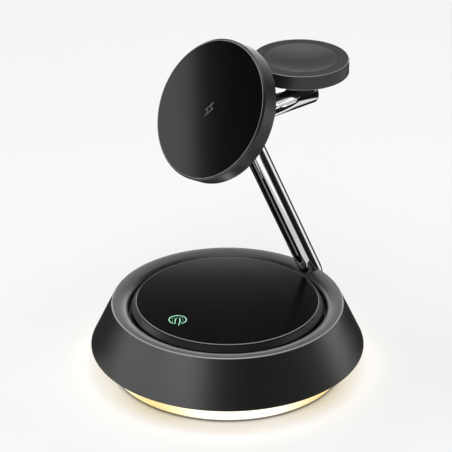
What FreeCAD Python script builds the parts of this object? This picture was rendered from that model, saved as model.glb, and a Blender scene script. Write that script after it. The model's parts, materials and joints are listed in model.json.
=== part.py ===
import FreeCAD, Part
import math
import os

# Charging stand: a flared round base with a pad, a bent stem, a tilting phone disc and a watch disc.
# Millimetres. Origin in the middle of the foot on the table, +Z up, the phone disc faces -Y.

# Clearances
ROUND_GAP = 0.08
DROP_IN_GAP = 0.25
PIN_GAP = 0.03
FLAT_GAP = 0.05

# Flared shell of the base
SHELL_FOOT_R = 58.0
SHELL_FOOT_Z = 10.0
RIM_R = 48.8
RIM_Z = 29.6
SHELL_WALL = 2.2
RIM_CHAMFER = 0.3
RING_W = 7.3
RING_ROUND_R = 3.6
GROOVE_W = 0.7
LEDGE_DROP = 5.6
LEDGE_T = 2.0
LEDGE_LIP = 1.4

# Charging pad in the top of the base
PAD_RISE = 0.6
PLATE_T = 0.7
PLATE_CHAMFER = 0.2
COLLAR_STEP = 0.15
COLLAR_FLARE = 2.2
SHOULDER_DROP = 2.0
SHOULDER_ROUND_R = 0.5
DECK_T = 1.8
COLLAR_WALL = 3.4
PAD_COIL_INSET = 17.1
PAD_COIL_HOLE_R = 9.0
PAD_COIL_T = 1.3
PAD_FERRITE_MARGIN = 1.5
PAD_FERRITE_T = 1.0
TOUCH_GAP = 1.8
TOUCH_R = 4.0
TOUCH_T = 0.2

# Foot, chassis and light ring
FOOT_T = 1.2
FOOT_EASE = 0.3
FOOT_GAP = 0.8
FLOOR_T = 2.4
CUP_WALL = 2.2
FLANGE_RISE = 0.4
FLANGE_T = 2.0
FLANGE_GAP = 0.25
DIFFUSER_LIFT = 0.6
DIFFUSER_INSET = 7.6
DIFFUSER_TAPER = 1.0
DIFFUSER_WALL = 3.1
STRIP_T = 0.3
STRIP_H = 5.0
STRIP_MARGIN = 1.0
LED_COUNT = 24
LED_W = 2.8
LED_H = 2.2
LED_T = 0.8
LED_GAP = 0.27
WEIGHT_ROOM = 2.0
WEIGHT_GAP = 0.8

# Screws that hold the shell to the chassis
BOSS_R = 3.2
BOSS_GAP = 0.9
BOSS_COUNT = 4
BOSS_FIRST_DEG = 45.0
SCREW_R = 1.1
SCREW_HEAD_R = 2.2
SCREW_HEAD_T = 1.2
SCREW_HEAD_EASE = 0.4
SCREW_SEAT_DEPTH = 1.4
SCREW_REACH = 9.0
PILOT_SPARE = 1.0

# Board and USB-C inlet
BOARD_T = 1.4
BOARD_SEAT_W = 1.2
BOARD_SEAT_DEPTH = 0.8
BOARD_TONGUE_W = 13.0
USB_W = 8.94
USB_H = 3.2
USB_L = 7.35
USB_WALL = 0.3
USB_DEPTH = 6.2
USB_TONGUE_W = 6.7
USB_TONGUE_T = 0.7
USB_TONGUE_L = 4.5
RECESS_W = 13.0
RECESS_H = 6.6
RECESS_CORNER_R = 1.5
RECESS_WALL = 1.6
RECESS_SILL = 0.8

# Bent stem
STEM_R = 4.75
STEM_BORE_R = 3.7
STEM_FOOT_INSET = 1.7
STEM_LEAN = 26.4
STEM_BEND_R = 11.0
FOOT_BEND_DEPTH = 3.3
ARM_Z = 112.4
ARM_L = 39.6
ARM_CAP_T = 0.7
ARM_PLUG_L = 1.6

# Lead inside the stem
LEAD_R = 1.4
LEAD_BEND_R = 2.2
LEAD_GAP = 0.25
LEAD_RUN = 9.2
LEAD_OFFSET = 3.0

# Phone disc, on the axis of its face
PHONE_R = 29.2
PHONE_T = 7.5
PHONE_TILT = 29.0
PHONE_FRONT_CHAMFER = 0.8
PHONE_BACK_CHAMFER = 0.5
PHONE_RIM_LAND = 0.1
PHONE_WALL = 2.2
PHONE_BACK_T = 1.3
FACE_T = 1.2
MAGNET_MARGIN = 1.0
MAGNET_W = 3.5
MAGNET_T = 2.0
MAGNET_COUNT = 16
MAGNET_GAP_DEG = 2.5
PHONE_COIL_MARGIN = 1.0
PHONE_COIL_HOLE_R = 10.0
PHONE_COIL_T = 1.4
PHONE_FERRITE_LAP = 0.3
PHONE_FERRITE_T = 0.8
PHONE_BOARD_INSET = 1.5
PHONE_BOARD_CLEAR = 1.6
PHONE_BOARD_T = 0.8

# Tilt hinge between the stem's bend and the phone disc
HINGE_ROOM = 1.6
YOKE_ROOM = 1.9
KNUCKLE_R = 4.0
LUG_W = 6.0
EAR_W = 2.6
WASHER_T = 0.4
WASHER_R = 3.6
PIN_R = 1.5
PIN_HEAD_R = 2.4
PIN_HEAD_T = 0.9
YOKE_PLATE_R = 9.0
YOKE_PLATE_T = 1.6
YOKE_SCREW_EDGE = 2.7
YOKE_SCREW_R = 0.8
YOKE_SCREW_HEAD_R = 1.6
YOKE_SCREW_HEAD_T = 0.9
YOKE_SCREW_SKIN = 0.4
SADDLE_WALL = 2.25
SADDLE_L = 9.0

# Watch disc
WATCH_FROM_END = 5.7
WATCH_R = 20.1
WATCH_RING_W = 4.5
WATCH_CHAMFER = 0.4
WATCH_BACK_T = 1.2
DISH_DEPTH = 1.8
DISH_SKIN = 0.6
DISH_LEDGE_W = 1.2
WATCH_COIL_MARGIN = 1.4
WATCH_COIL_HOLE_R = 6.0
WATCH_COIL_T = 1.1
WATCH_MAGNET_R = 5.0
WATCH_FERRITE_T = 0.8
WATCH_BOARD_MARGIN = 0.4
WATCH_BOARD_T = 0.8
WATCH_CENTRE_HOLE_R = 6.0
WATCH_NECK_R = 6.0
WATCH_NECK_H = 6.0
NECK_SADDLE_DEPTH = 2.8
NECK_SCREW_OFFSET = 2.2
NECK_SCREW_REACH = 2.4

V = FreeCAD.Vector
UP = V(0, 0, 1)

# Heights of the base, from the table upwards
floor_z = FOOT_T
floor_top_z = floor_z + FLOOR_T
flange_z = SHELL_FOOT_Z + FLANGE_RISE
flange_top_z = flange_z + FLANGE_T
board_z = flange_top_z - BOARD_SEAT_DEPTH
board_top_z = board_z + BOARD_T
usb_z = board_top_z + USB_H / 2
recess_low_z = usb_z - RECESS_H / 2
lead_over_z = board_top_z + USB_H + LEAD_GAP + LEAD_R
stem_end_z = lead_over_z + LEAD_R + LEAD_GAP
pad_top_z = RIM_Z + PAD_RISE
plate_z = pad_top_z - PLATE_T
deck_z = plate_z - DECK_T
ledge_z = RIM_Z - LEDGE_DROP

# Radii of the base
ring_inner_r = RIM_R - RING_W
collar_r = ring_inner_r - GROOVE_W
pad_r = collar_r - COLLAR_FLARE
skirt_r = ring_inner_r + SHELL_WALL
flare = (SHELL_FOOT_R - RIM_R) / (RIM_Z - SHELL_FOOT_Z)
wall_across = SHELL_WALL * math.sqrt(1 + flare * flare)
diffuser_high_r = SHELL_FOOT_R - DIFFUSER_INSET
diffuser_low_r = diffuser_high_r - DIFFUSER_TAPER
diffuser_bore_r = diffuser_low_r - DIFFUSER_WALL
foot_r = diffuser_bore_r - FOOT_GAP
led_back_r = diffuser_bore_r - LED_GAP - LED_T
strip_bore_r = led_back_r - FLAT_GAP - STRIP_T
cup_r = strip_bore_r - ROUND_GAP
cup_bore_r = cup_r - CUP_WALL
board_r = cup_bore_r + BOARD_SEAT_W - DROP_IN_GAP
boss_circle_r = cup_bore_r - BOSS_GAP - BOSS_R
skirt_bore_r = collar_r - COLLAR_WALL
ledge_bore_r = min(skirt_bore_r, boss_circle_r) - LEDGE_LIP
pad_coil_r = pad_r - PAD_COIL_INSET
touch_y = -(pad_coil_r + TOUCH_GAP + TOUCH_R)

# The stem's centre line, all of it in the plane x = 0
lean = math.radians(STEM_LEAN)
foot_bend_z = RIM_Z - FOOT_BEND_DEPTH
stem_foot_y = RIM_R - STEM_FOOT_INSET
leg_y = stem_foot_y + FOOT_BEND_DEPTH * math.tan(lean)
apex_y = stem_foot_y - (ARM_Z - RIM_Z) * math.tan(lean)
leg_end = V(0, leg_y, stem_end_z)
foot_corner = V(0, leg_y, foot_bend_z)
apex_corner = V(0, apex_y, ARM_Z)
arm_end = V(0, apex_y + ARM_L, ARM_Z)

# The middle of the upper bend carries the phone disc, in line with its face
half_turn = (math.pi / 2 + lean) / 2
bend_out = V(0, -math.sin(half_turn), math.cos(half_turn))
bend_mid = apex_corner - bend_out * (STEM_BEND_R * (1 / math.cos(half_turn) - 1))
tilt = math.radians(PHONE_TILT)
face_normal = V(0, -math.cos(tilt), math.sin(tilt))
saddle_r = STEM_R + SADDLE_WALL
hinge_reach = saddle_r + HINGE_ROOM + KNUCKLE_R
hinge_standoff = KNUCKLE_R + YOKE_ROOM + YOKE_PLATE_T
hinge = bend_mid + face_normal * hinge_reach
face_centre = hinge + face_normal * (hinge_standoff + PHONE_T)
face_turn = FreeCAD.Rotation(V(1, 0, 0), 90 - PHONE_TILT)
hinge_local_z = -PHONE_T - hinge_standoff
bend_local_z = hinge_local_z - hinge_reach
ear_inner_x = LUG_W / 2 + WASHER_T + 2 * FLAT_GAP
ear_outer_x = ear_inner_x + EAR_W

# Inside the phone disc
phone_bore_r = PHONE_R - PHONE_WALL
land_r = PHONE_R - PHONE_FRONT_CHAMFER - PHONE_RIM_LAND
magnet_r = phone_bore_r - MAGNET_MARGIN
magnet_bore_r = magnet_r - MAGNET_W
phone_coil_r = magnet_bore_r - PHONE_COIL_MARGIN
phone_floor_z = -PHONE_T + PHONE_BACK_T
yoke_screw_y = YOKE_PLATE_R - YOKE_SCREW_EDGE
yoke_screw_reach = YOKE_PLATE_T - YOKE_SCREW_SKIN

# Watch disc, from the arm upwards
watch_y = arm_end.y - WATCH_FROM_END
watch_z = ARM_Z + STEM_R + WATCH_NECK_H
watch_floor_z = watch_z + WATCH_BACK_T
ferrite_z = watch_floor_z + WATCH_BOARD_T
watch_coil_z = ferrite_z + WATCH_FERRITE_T
dish_z = watch_coil_z + WATCH_COIL_T
watch_top_z = dish_z + DISH_SKIN + DISH_DEPTH
dish_r = WATCH_R - WATCH_RING_W
watch_bore_r = dish_r - DISH_LEDGE_W
watch_board_r = watch_bore_r - WATCH_BOARD_MARGIN

# Rear block of the shell that holds the inlet and the stem's foot
recess_floor_y = leg_y + LEAD_R + LEAD_GAP + RECESS_WALL
block_w = RECESS_W + 2 * RECESS_WALL


def shell_r(z):
    """Outer radius of the flared side at a height."""
    return RIM_R + (RIM_Z - z) * flare


def outline(start, *moves):
    """Closed outline of (radius, height) points; a pair of points is an arc's middle and end."""
    here = V(start[0], 0, start[1])
    first = here
    edges = []
    for move in moves:
        if isinstance(move[0], tuple):
            middle, end = [V(r, 0, z) for r, z in move]
            edges.append(Part.Arc(here, middle, end).toShape())
        else:
            end = V(move[0], 0, move[1])
            edges.append(Part.LineSegment(here, end).toShape())
        here = end
    edges.append(Part.LineSegment(here, first).toShape())
    return Part.Wire(edges)


def lathe(wire, angle=360):
    """Solid turned from an outline about the Z axis."""
    return Part.Face(wire).revolve(V(0, 0, 0), UP, angle)


def disc(r, low, high, x=0.0, y=0.0):
    """Upright cylinder between two heights."""
    return Part.makeCylinder(r, high - low, V(x, y, low), UP)


def ring(outer_r, inner_r, low, high):
    """Flat ring between two heights."""
    return disc(outer_r, low, high).cut(disc(inner_r, low, high))


def box(x, y, z):
    """Box from three (low, high) pairs."""
    corner = V(x[0], y[0], z[0])
    return Part.makeBox(x[1] - x[0], y[1] - y[0], z[1] - z[0], corner)


def across(r, half_length, y, z):
    """Cylinder along X, centred on x = 0."""
    return Part.makeCylinder(r, 2 * half_length, V(-half_length, y, z), V(1, 0, 0))


def slot_bar(width, height, corner_r, y_low, y_high, z):
    """Bar along Y with a rounded rectangle for its section."""
    bar = box((-width / 2, width / 2), (y_low, y_high), (z - height / 2, z + height / 2))
    extents = [(e, e.BoundBox) for e in bar.Edges]
    long_edges = [e for e, b in extents if b.YLength > b.XLength + b.ZLength]
    return bar.makeFillet(corner_r, long_edges)


def stadium_bar(width, height, y_low, y_high, z):
    """Bar along Y with round sides."""
    r = height / 2
    half = width / 2 - r
    sides = [Part.makeCylinder(r, y_high - y_low, V(x, y_low, z), V(0, 1, 0)) for x in (-half, half)]
    return joined([box((-half, half), (y_low, y_high), (z - r, z + r))] + sides)


def joined(pieces):
    """One solid of pieces that meet."""
    return pieces[0].fuse(pieces[1:]).removeSplitter()


def around(shape, count, first_deg=0.0):
    """Copies of a shape turned about Z."""
    copies = []
    for i in range(count):
        copy = shape.copy()
        copy.rotate(V(0, 0, 0), UP, first_deg + i * 360 / count)
        copies.append(copy)
    return copies


def bent_rod(corners, bend_radii, r):
    """Round rod of straight runs joined by tangent arcs, one radius for each inner corner."""
    pieces = []
    start = corners[0]
    for before, corner, after, bend_r in zip(corners, corners[1:], corners[2:], bend_radii):
        into = (corner - before).normalize()
        out = (after - corner).normalize()
        turn = into.getAngle(out)
        reach = bend_r * math.tan(turn / 2)
        bend_start = corner - into * reach
        axis = into.cross(out).normalize()
        centre = bend_start + axis.cross(into) * bend_r
        pieces.append(Part.makeCylinder(r, (bend_start - start).Length, start, into))
        section = Part.Face(Part.Wire(Part.makeCircle(r, bend_start, into)))
        pieces.append(section.revolve(centre, axis, math.degrees(turn)))
        start = corner + out * reach
    last = corners[-1] - start
    pieces.append(Part.makeCylinder(r, last.Length, start, last))
    return joined(pieces)


def stem_rod(r, past_end=0.0):
    """Rod of a given radius along the stem's centre line, longer at the arm's end if asked."""
    corners = [leg_end, foot_corner, apex_corner, arm_end + V(0, past_end, 0)]
    return bent_rod(corners, [STEM_BEND_R, STEM_BEND_R], r)


def on_phone(shape):
    """Moves a piece modelled with the phone face at z = 0, looking up, to its place on the hinge."""
    placed = shape.copy()
    placed.Placement = FreeCAD.Placement(face_centre, face_turn)
    return placed


def on_watch(shape):
    """Moves a piece modelled about the Z axis to the watch disc's axis."""
    placed = shape.copy()
    placed.translate(V(0, watch_y, 0))
    return placed


def screw(head_r, head_t, shank_r, reach):
    """Pan-head screw with its head's seat at z = 0 and its shank upwards."""
    head = lathe(outline(
        (0, -head_t),
        (head_r - SCREW_HEAD_EASE, -head_t),
        (head_r, -head_t + SCREW_HEAD_EASE),
        (head_r, 0),
        (0, 0),
    ))
    return joined([head, disc(shank_r, 0, reach)])


def base_shell():
    """Flared shell with the ring, the ledge for the pad, the screw bosses and the rear block."""
    arc = RING_ROUND_R * math.sqrt(0.5)
    round_z = RIM_Z - RING_ROUND_R
    round_r = ring_inner_r + RING_ROUND_R
    under_z = RIM_Z - SHELL_WALL
    shell = lathe(outline(
        (SHELL_FOOT_R, SHELL_FOOT_Z),
        (shell_r(RIM_Z - RIM_CHAMFER), RIM_Z - RIM_CHAMFER),
        (RIM_R - RIM_CHAMFER, RIM_Z),
        (round_r, RIM_Z),
        ((round_r - arc, round_z + arc), (ring_inner_r, round_z)),
        (ring_inner_r, ledge_z),
        (ledge_bore_r, ledge_z),
        (ledge_bore_r, ledge_z - LEDGE_T),
        (skirt_r, ledge_z - LEDGE_T),
        (skirt_r, under_z),
        (shell_r(under_z) - wall_across, under_z),
        (SHELL_FOOT_R - wall_across, SHELL_FOOT_Z),
    ))
    boss = disc(BOSS_R, floor_top_z, ledge_z - LEDGE_T / 2, boss_circle_r)
    pilot_top = floor_z + SCREW_SEAT_DEPTH + SCREW_REACH + PILOT_SPARE
    pilot = disc(SCREW_R + ROUND_GAP, floor_top_z, pilot_top, boss_circle_r)
    bosses = around(boss.cut(pilot), BOSS_COUNT, BOSS_FIRST_DEG)
    envelope = lathe(outline((0, SHELL_FOOT_Z), (SHELL_FOOT_R, SHELL_FOOT_Z), (RIM_R, RIM_Z), (0, RIM_Z)))
    half = block_w / 2
    far_y = SHELL_FOOT_R
    sill_z = recess_low_z - RECESS_SILL
    inlet = box((-half, half), (recess_floor_y - RECESS_WALL, far_y), (sill_z, stem_end_z))
    mid_skirt_r = ring_inner_r + SHELL_WALL / 2
    socket = box((-half, half), (mid_skirt_r, far_y), (stem_end_z, under_z + SHELL_WALL / 2))
    block = joined([inlet, socket]).common(envelope)
    shell = joined([shell, block] + bosses)
    shell = shell.cut(slot_bar(RECESS_W, RECESS_H, RECESS_CORNER_R, recess_floor_y, far_y, usb_z))
    hole_w = USB_W + 2 * ROUND_GAP
    hole_h = USB_H + 2 * ROUND_GAP
    shell = shell.cut(stadium_bar(hole_w, hole_h, recess_floor_y - 2 * RECESS_WALL, far_y, usb_z))
    return shell.cut(stem_rod(STEM_R + ROUND_GAP))


def pad_collar():
    """Raised deck with a sloping side, a rounded shoulder in the groove and a skirt on the ledge."""
    top_r = pad_r + COLLAR_STEP
    shoulder_z = plate_z - SHOULDER_DROP
    arc = SHOULDER_ROUND_R * math.sqrt(0.5)
    middle = (collar_r - SHOULDER_ROUND_R + arc, shoulder_z - SHOULDER_ROUND_R + arc)
    return lathe(outline(
        (0, plate_z),
        (top_r, plate_z),
        (collar_r - SHOULDER_ROUND_R, shoulder_z),
        (middle, (collar_r, shoulder_z - SHOULDER_ROUND_R)),
        (collar_r, ledge_z),
        (skirt_bore_r, ledge_z),
        (skirt_bore_r, deck_z),
        (0, deck_z),
    ))


def pad_plate():
    """Glossy round plate with a fine chamfer at its top edge."""
    return lathe(outline(
        (0, plate_z),
        (pad_r, plate_z),
        (pad_r, pad_top_z - PLATE_CHAMFER),
        (pad_r - PLATE_CHAMFER, pad_top_z),
        (0, pad_top_z),
    ))


def base_chassis():
    """Floor, cup wall and flange in one moulding, with screw seats and room for the inlet."""
    flange_r = shell_r(flange_top_z) - wall_across - FLANGE_GAP
    chassis = lathe(outline(
        (0, floor_z),
        (cup_r, floor_z),
        (cup_r, flange_z),
        (flange_r, flange_z),
        (flange_r, flange_top_z),
        (cup_bore_r + BOARD_SEAT_W, flange_top_z),
        (cup_bore_r + BOARD_SEAT_W, board_z),
        (cup_bore_r, board_z),
        (cup_bore_r, floor_top_z),
        (0, floor_top_z),
    ))
    seat = disc(SCREW_HEAD_R + DROP_IN_GAP, floor_z, floor_z + SCREW_SEAT_DEPTH, boss_circle_r)
    hole = disc(SCREW_R + DROP_IN_GAP, floor_z, floor_top_z, boss_circle_r)
    chassis = chassis.cut(around(seat.fuse(hole), BOSS_COUNT, BOSS_FIRST_DEG))
    half = block_w / 2 + DROP_IN_GAP
    notch_y = recess_floor_y - RECESS_WALL - DROP_IN_GAP
    chassis = chassis.cut(box((-half, half), (notch_y, SHELL_FOOT_R), (flange_z, flange_top_z)))
    tongue = BOARD_TONGUE_W / 2 + DROP_IN_GAP
    return chassis.cut(box((-tongue, tongue), (cup_bore_r, notch_y), (board_z, flange_top_z)))


def foot_pad():
    """Rubber disc with an eased lower edge."""
    return lathe(outline(
        (0, 0),
        (foot_r - FOOT_EASE, 0),
        (foot_r, FOOT_EASE),
        (foot_r, FOOT_T),
        (0, FOOT_T),
    ))


def chassis_screws():
    """Four screws from under the floor into the shell's bosses."""
    one = screw(SCREW_HEAD_R, SCREW_HEAD_T, SCREW_R, SCREW_REACH)
    one.translate(V(boss_circle_r, 0, floor_z + SCREW_SEAT_DEPTH))
    return Part.makeCompound(around(one, BOSS_COUNT, BOSS_FIRST_DEG))


def diffuser_ring():
    """Tapered translucent ring that hangs from the flange."""
    return lathe(outline(
        (diffuser_bore_r, DIFFUSER_LIFT),
        (diffuser_low_r, DIFFUSER_LIFT),
        (diffuser_high_r, flange_z),
        (diffuser_bore_r, flange_z),
    ))


def strip_span():
    """Lower and upper height of the lamp band, just under the flange."""
    high = flange_z - STRIP_MARGIN
    return high - STRIP_H, high


def led_strip():
    """Band of board wrapped round the chassis cup."""
    low, high = strip_span()
    return ring(strip_bore_r + STRIP_T, strip_bore_r, low, high)


def led_chips():
    """Lamps spaced evenly on the band."""
    low, high = strip_span()
    middle = (low + high) / 2
    half_w = LED_W / 2
    half_h = LED_H / 2
    chip = box((led_back_r, led_back_r + LED_T), (-half_w, half_w), (middle - half_h, middle + half_h))
    return Part.makeCompound(around(chip, LED_COUNT))


def counterweight():
    """Steel disc on the chassis floor, inside the screw bosses."""
    return disc(boss_circle_r - BOSS_R - WEIGHT_GAP, floor_top_z, board_z - WEIGHT_ROOM)


def main_board():
    """Round board on the chassis seat, with a tongue under the inlet."""
    tongue_y = recess_floor_y - RECESS_WALL - DROP_IN_GAP
    half = BOARD_TONGUE_W / 2
    tongue = box((-half, half), (0, tongue_y), (board_z, board_top_z))
    hole = disc(BOSS_R + DROP_IN_GAP, board_z, board_top_z, boss_circle_r)
    holes = around(hole, BOSS_COUNT, BOSS_FIRST_DEG)
    return joined([disc(board_r, board_z, board_top_z), tongue]).cut(holes)


def usb_socket():
    """Stadium shell with a contact tongue, its mouth level with the recess floor."""
    back_y = recess_floor_y - USB_L
    body = stadium_bar(USB_W, USB_H, back_y, recess_floor_y, usb_z)
    inner_h = USB_H - 2 * USB_WALL
    inner_w = USB_W - 2 * USB_WALL
    mouth_y = recess_floor_y - USB_DEPTH
    body = body.cut(stadium_bar(inner_w, inner_h, mouth_y, recess_floor_y, usb_z))
    half_w = USB_TONGUE_W / 2
    half_t = USB_TONGUE_T / 2
    tip_y = mouth_y + USB_TONGUE_L
    tongue = box((-half_w, half_w), (back_y + USB_WALL, tip_y), (usb_z - half_t, usb_z + half_t))
    return joined([body, tongue])


def pad_coil():
    """Flat coil under the deck."""
    return ring(pad_coil_r, PAD_COIL_HOLE_R, deck_z - PAD_COIL_T, deck_z)


def pad_ferrite():
    """Shield sheet under the coil."""
    high = deck_z - PAD_COIL_T
    return disc(pad_coil_r + PAD_FERRITE_MARGIN, high - PAD_FERRITE_T, high)


def touch_electrode():
    """Foil under the deck at the touch symbol."""
    return disc(TOUCH_R, deck_z - TOUCH_T, deck_z, 0, touch_y)


def neck_holes(low, high):
    """Ways through the arm's top and the neck for the lead and the screw."""
    lead = disc(LEAD_R + LEAD_GAP, low, high, 0, watch_y - LEAD_OFFSET)
    return [lead, disc(SCREW_R + ROUND_GAP, low, high, 0, watch_y + NECK_SCREW_OFFSET)]


def stem_tube():
    """Bent tube: upright foot in the base, leaning post, tight bend and level arm."""
    tube = stem_rod(STEM_R).cut(stem_rod(STEM_BORE_R))
    return tube.cut(neck_holes(ARM_Z, ARM_Z + 2 * STEM_R))


def wire_harness():
    """Lead from the board, up the stem and out of the arm's top into the watch disc."""
    board_y = leg_y - LEAD_RUN
    corners = [
        V(0, board_y, board_top_z),
        V(0, board_y, lead_over_z),
        V(0, leg_y, lead_over_z),
        foot_corner,
        apex_corner,
        V(0, watch_y - LEAD_OFFSET, ARM_Z),
        V(0, watch_y - LEAD_OFFSET, watch_floor_z),
    ]
    bend_radii = [LEAD_BEND_R, LEAD_BEND_R, STEM_BEND_R, STEM_BEND_R, LEAD_BEND_R]
    return bent_rod(corners, bend_radii, LEAD_R)


def arm_cap():
    """Plug with a thin head in the arm's open end."""
    along = V(0, 1, 0)
    head = Part.makeCylinder(STEM_R, ARM_CAP_T, arm_end, along)
    plug_start = arm_end - along * ARM_PLUG_L
    plug = Part.makeCylinder(STEM_BORE_R - ROUND_GAP, ARM_PLUG_L, plug_start, along)
    return joined([head, plug])


def hinge_saddle():
    """Collar on the stem's bend with the lug that the phone disc turns on."""
    half_w = LUG_W / 2
    lug = box((-half_w, half_w), (-KNUCKLE_R, KNUCKLE_R), (bend_local_z, hinge_local_z))
    lug = joined([lug, across(KNUCKLE_R, half_w, 0, hinge_local_z)])
    lug = on_phone(lug.cut(across(PIN_R + PIN_GAP, half_w, 0, hinge_local_z)))
    along = V(0, bend_out.z, -bend_out.y)
    collar = Part.makeCylinder(saddle_r, SADDLE_L, bend_mid - along * (SADDLE_L / 2), along)
    return joined([collar, lug]).cut(stem_rod(STEM_R + ROUND_GAP))


def yoke_screw_holes(low, high):
    """Holes for the two yoke screws, on the phone disc's axes."""
    return [disc(YOKE_SCREW_R + ROUND_GAP, low, high, 0, y) for y in (-yoke_screw_y, yoke_screw_y)]


def phone_shell():
    """Cup of the phone disc with a chamfered front edge and a seat for the face."""
    cup = lathe(outline(
        (0, -PHONE_T),
        (PHONE_R - PHONE_BACK_CHAMFER, -PHONE_T),
        (PHONE_R, -PHONE_T + PHONE_BACK_CHAMFER),
        (PHONE_R, -PHONE_FRONT_CHAMFER),
        (PHONE_R - PHONE_FRONT_CHAMFER, 0),
        (land_r, 0),
        (land_r, -FACE_T),
        (phone_bore_r, -FACE_T),
        (phone_bore_r, phone_floor_z),
        (0, phone_floor_z),
    ))
    return on_phone(cup.cut(yoke_screw_holes(-PHONE_T, phone_floor_z)))


def phone_face():
    """Glossy face plate in the cup's seat."""
    return on_phone(disc(land_r - ROUND_GAP, -FACE_T, 0))


def phone_magnets():
    """Ring of magnet segments behind the face."""
    low = -FACE_T - MAGNET_T
    section = outline((magnet_bore_r, low), (magnet_r, low), (magnet_r, -FACE_T), (magnet_bore_r, -FACE_T))
    segment = lathe(section, 360 / MAGNET_COUNT - MAGNET_GAP_DEG)
    return on_phone(Part.makeCompound(around(segment, MAGNET_COUNT)))


def phone_coil():
    """Flat coil behind the face, inside the magnets."""
    return on_phone(ring(phone_coil_r, PHONE_COIL_HOLE_R, -FACE_T - PHONE_COIL_T, -FACE_T))


def phone_ferrite():
    """Shield sheet behind the coil."""
    high = -FACE_T - PHONE_COIL_T
    return on_phone(disc(phone_coil_r + PHONE_FERRITE_LAP, high - PHONE_FERRITE_T, high))


def phone_board():
    """Ring board on the cup's floor, open where the yoke's screw heads sit."""
    hole_r = yoke_screw_y + YOKE_SCREW_HEAD_R + PHONE_BOARD_CLEAR
    outer_r = phone_coil_r - PHONE_BOARD_INSET
    return on_phone(ring(outer_r, hole_r, phone_floor_z, phone_floor_z + PHONE_BOARD_T))


def phone_yoke():
    """Plate on the cup's back with two ears for the hinge pin."""
    plate_low = -PHONE_T - YOKE_PLATE_T
    plate = disc(YOKE_PLATE_R, plate_low, -PHONE_T)
    bar = box((-ear_outer_x, ear_outer_x), (-KNUCKLE_R, KNUCKLE_R), (hinge_local_z, plate_low))
    bar = joined([bar, across(KNUCKLE_R, ear_outer_x, 0, hinge_local_z)])
    below_z = hinge_local_z - 2 * KNUCKLE_R
    room = box((-ear_inner_x, ear_inner_x), (-PHONE_R, PHONE_R), (below_z, plate_low))
    ears = bar.cut(room)
    yoke = joined([plate, ears]).cut(across(PIN_R + PIN_GAP, ear_outer_x, 0, hinge_local_z))
    holes = yoke_screw_holes(-PHONE_T - yoke_screw_reach - ROUND_GAP, -PHONE_T)
    return on_phone(yoke.cut(holes))


def yoke_screws():
    """Two screws from inside the cup into the yoke's plate."""
    screws = []
    for y in (-yoke_screw_y, yoke_screw_y):
        one = screw(YOKE_SCREW_HEAD_R, YOKE_SCREW_HEAD_T, YOKE_SCREW_R, PHONE_BACK_T + yoke_screw_reach)
        one.rotate(V(0, 0, 0), V(1, 0, 0), 180)
        one.translate(V(0, y, phone_floor_z))
        screws.append(one)
    return on_phone(Part.makeCompound(screws))


def hinge_pin():
    """Riveted pin with a head outside each ear."""
    head_in = ear_outer_x + FLAT_GAP
    head_out = head_in + PIN_HEAD_T
    pin = across(PIN_R, head_out, 0, hinge_local_z)
    between = across(PIN_HEAD_R, head_in, 0, hinge_local_z)
    heads = across(PIN_HEAD_R, head_out, 0, hinge_local_z).cut(between)
    return on_phone(joined([pin, heads]))


def friction_washers():
    """A washer on each side of the lug."""
    inner_x = LUG_W / 2 + FLAT_GAP
    outer_x = inner_x + WASHER_T
    between = across(WASHER_R, inner_x, 0, hinge_local_z)
    hole = across(PIN_R + PIN_GAP, outer_x, 0, hinge_local_z)
    return on_phone(across(WASHER_R, outer_x, 0, hinge_local_z).cut([between, hole]))


def watch_shell():
    """Cup of the watch disc with chamfered edges and a ledge for the dish."""
    dish_seat_r = dish_r + ROUND_GAP
    cup = lathe(outline(
        (0, watch_z),
        (WATCH_R - WATCH_CHAMFER, watch_z),
        (WATCH_R, watch_z + WATCH_CHAMFER),
        (WATCH_R, watch_top_z - WATCH_CHAMFER),
        (WATCH_R - WATCH_CHAMFER, watch_top_z),
        (dish_seat_r, watch_top_z),
        (dish_seat_r, dish_z),
        (watch_bore_r, dish_z),
        (watch_bore_r, watch_floor_z),
        (0, watch_floor_z),
    ))
    return on_watch(cup).cut(neck_holes(watch_z, watch_floor_z))


def watch_dish():
    """Cap with a round hollow for the watch's back."""
    bowl_r = (dish_r * dish_r + DISH_DEPTH * DISH_DEPTH) / (2 * DISH_DEPTH)
    bowl = Part.makeSphere(bowl_r, V(0, 0, watch_top_z + bowl_r - DISH_DEPTH))
    return on_watch(disc(dish_r, dish_z, watch_top_z - FLAT_GAP).cut(bowl))


def watch_coil():
    """Flat coil under the dish."""
    return on_watch(ring(watch_bore_r - WATCH_COIL_MARGIN, WATCH_COIL_HOLE_R, watch_coil_z, dish_z))


def watch_magnet():
    """Magnet in the middle of the coil."""
    return on_watch(disc(WATCH_MAGNET_R, watch_coil_z, dish_z))


def watch_ferrite():
    """Shield ring under the coil."""
    return on_watch(ring(watch_board_r, WATCH_CENTRE_HOLE_R, ferrite_z, watch_coil_z))


def watch_board():
    """Ring board on the cup's floor."""
    return on_watch(ring(watch_board_r, WATCH_CENTRE_HOLE_R, watch_floor_z, ferrite_z))


def watch_boss():
    """Neck between the watch disc and the arm, with a saddle that hugs the tube."""
    low = ARM_Z + STEM_R - NECK_SADDLE_DEPTH
    neck = on_watch(disc(WATCH_NECK_R, low, watch_z)).cut(neck_holes(low, watch_z))
    return neck.cut(stem_rod(STEM_R + ROUND_GAP, WATCH_NECK_R))


def boss_screw():
    """Screw from inside the watch disc, down through the neck into the arm's wall."""
    length = watch_floor_z - (ARM_Z + STEM_R) + NECK_SCREW_REACH
    one = screw(SCREW_HEAD_R, SCREW_HEAD_T, SCREW_R, length)
    one.rotate(V(0, 0, 0), V(1, 0, 0), 180)
    one.translate(V(0, watch_y + NECK_SCREW_OFFSET, watch_floor_z))
    return one


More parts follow.
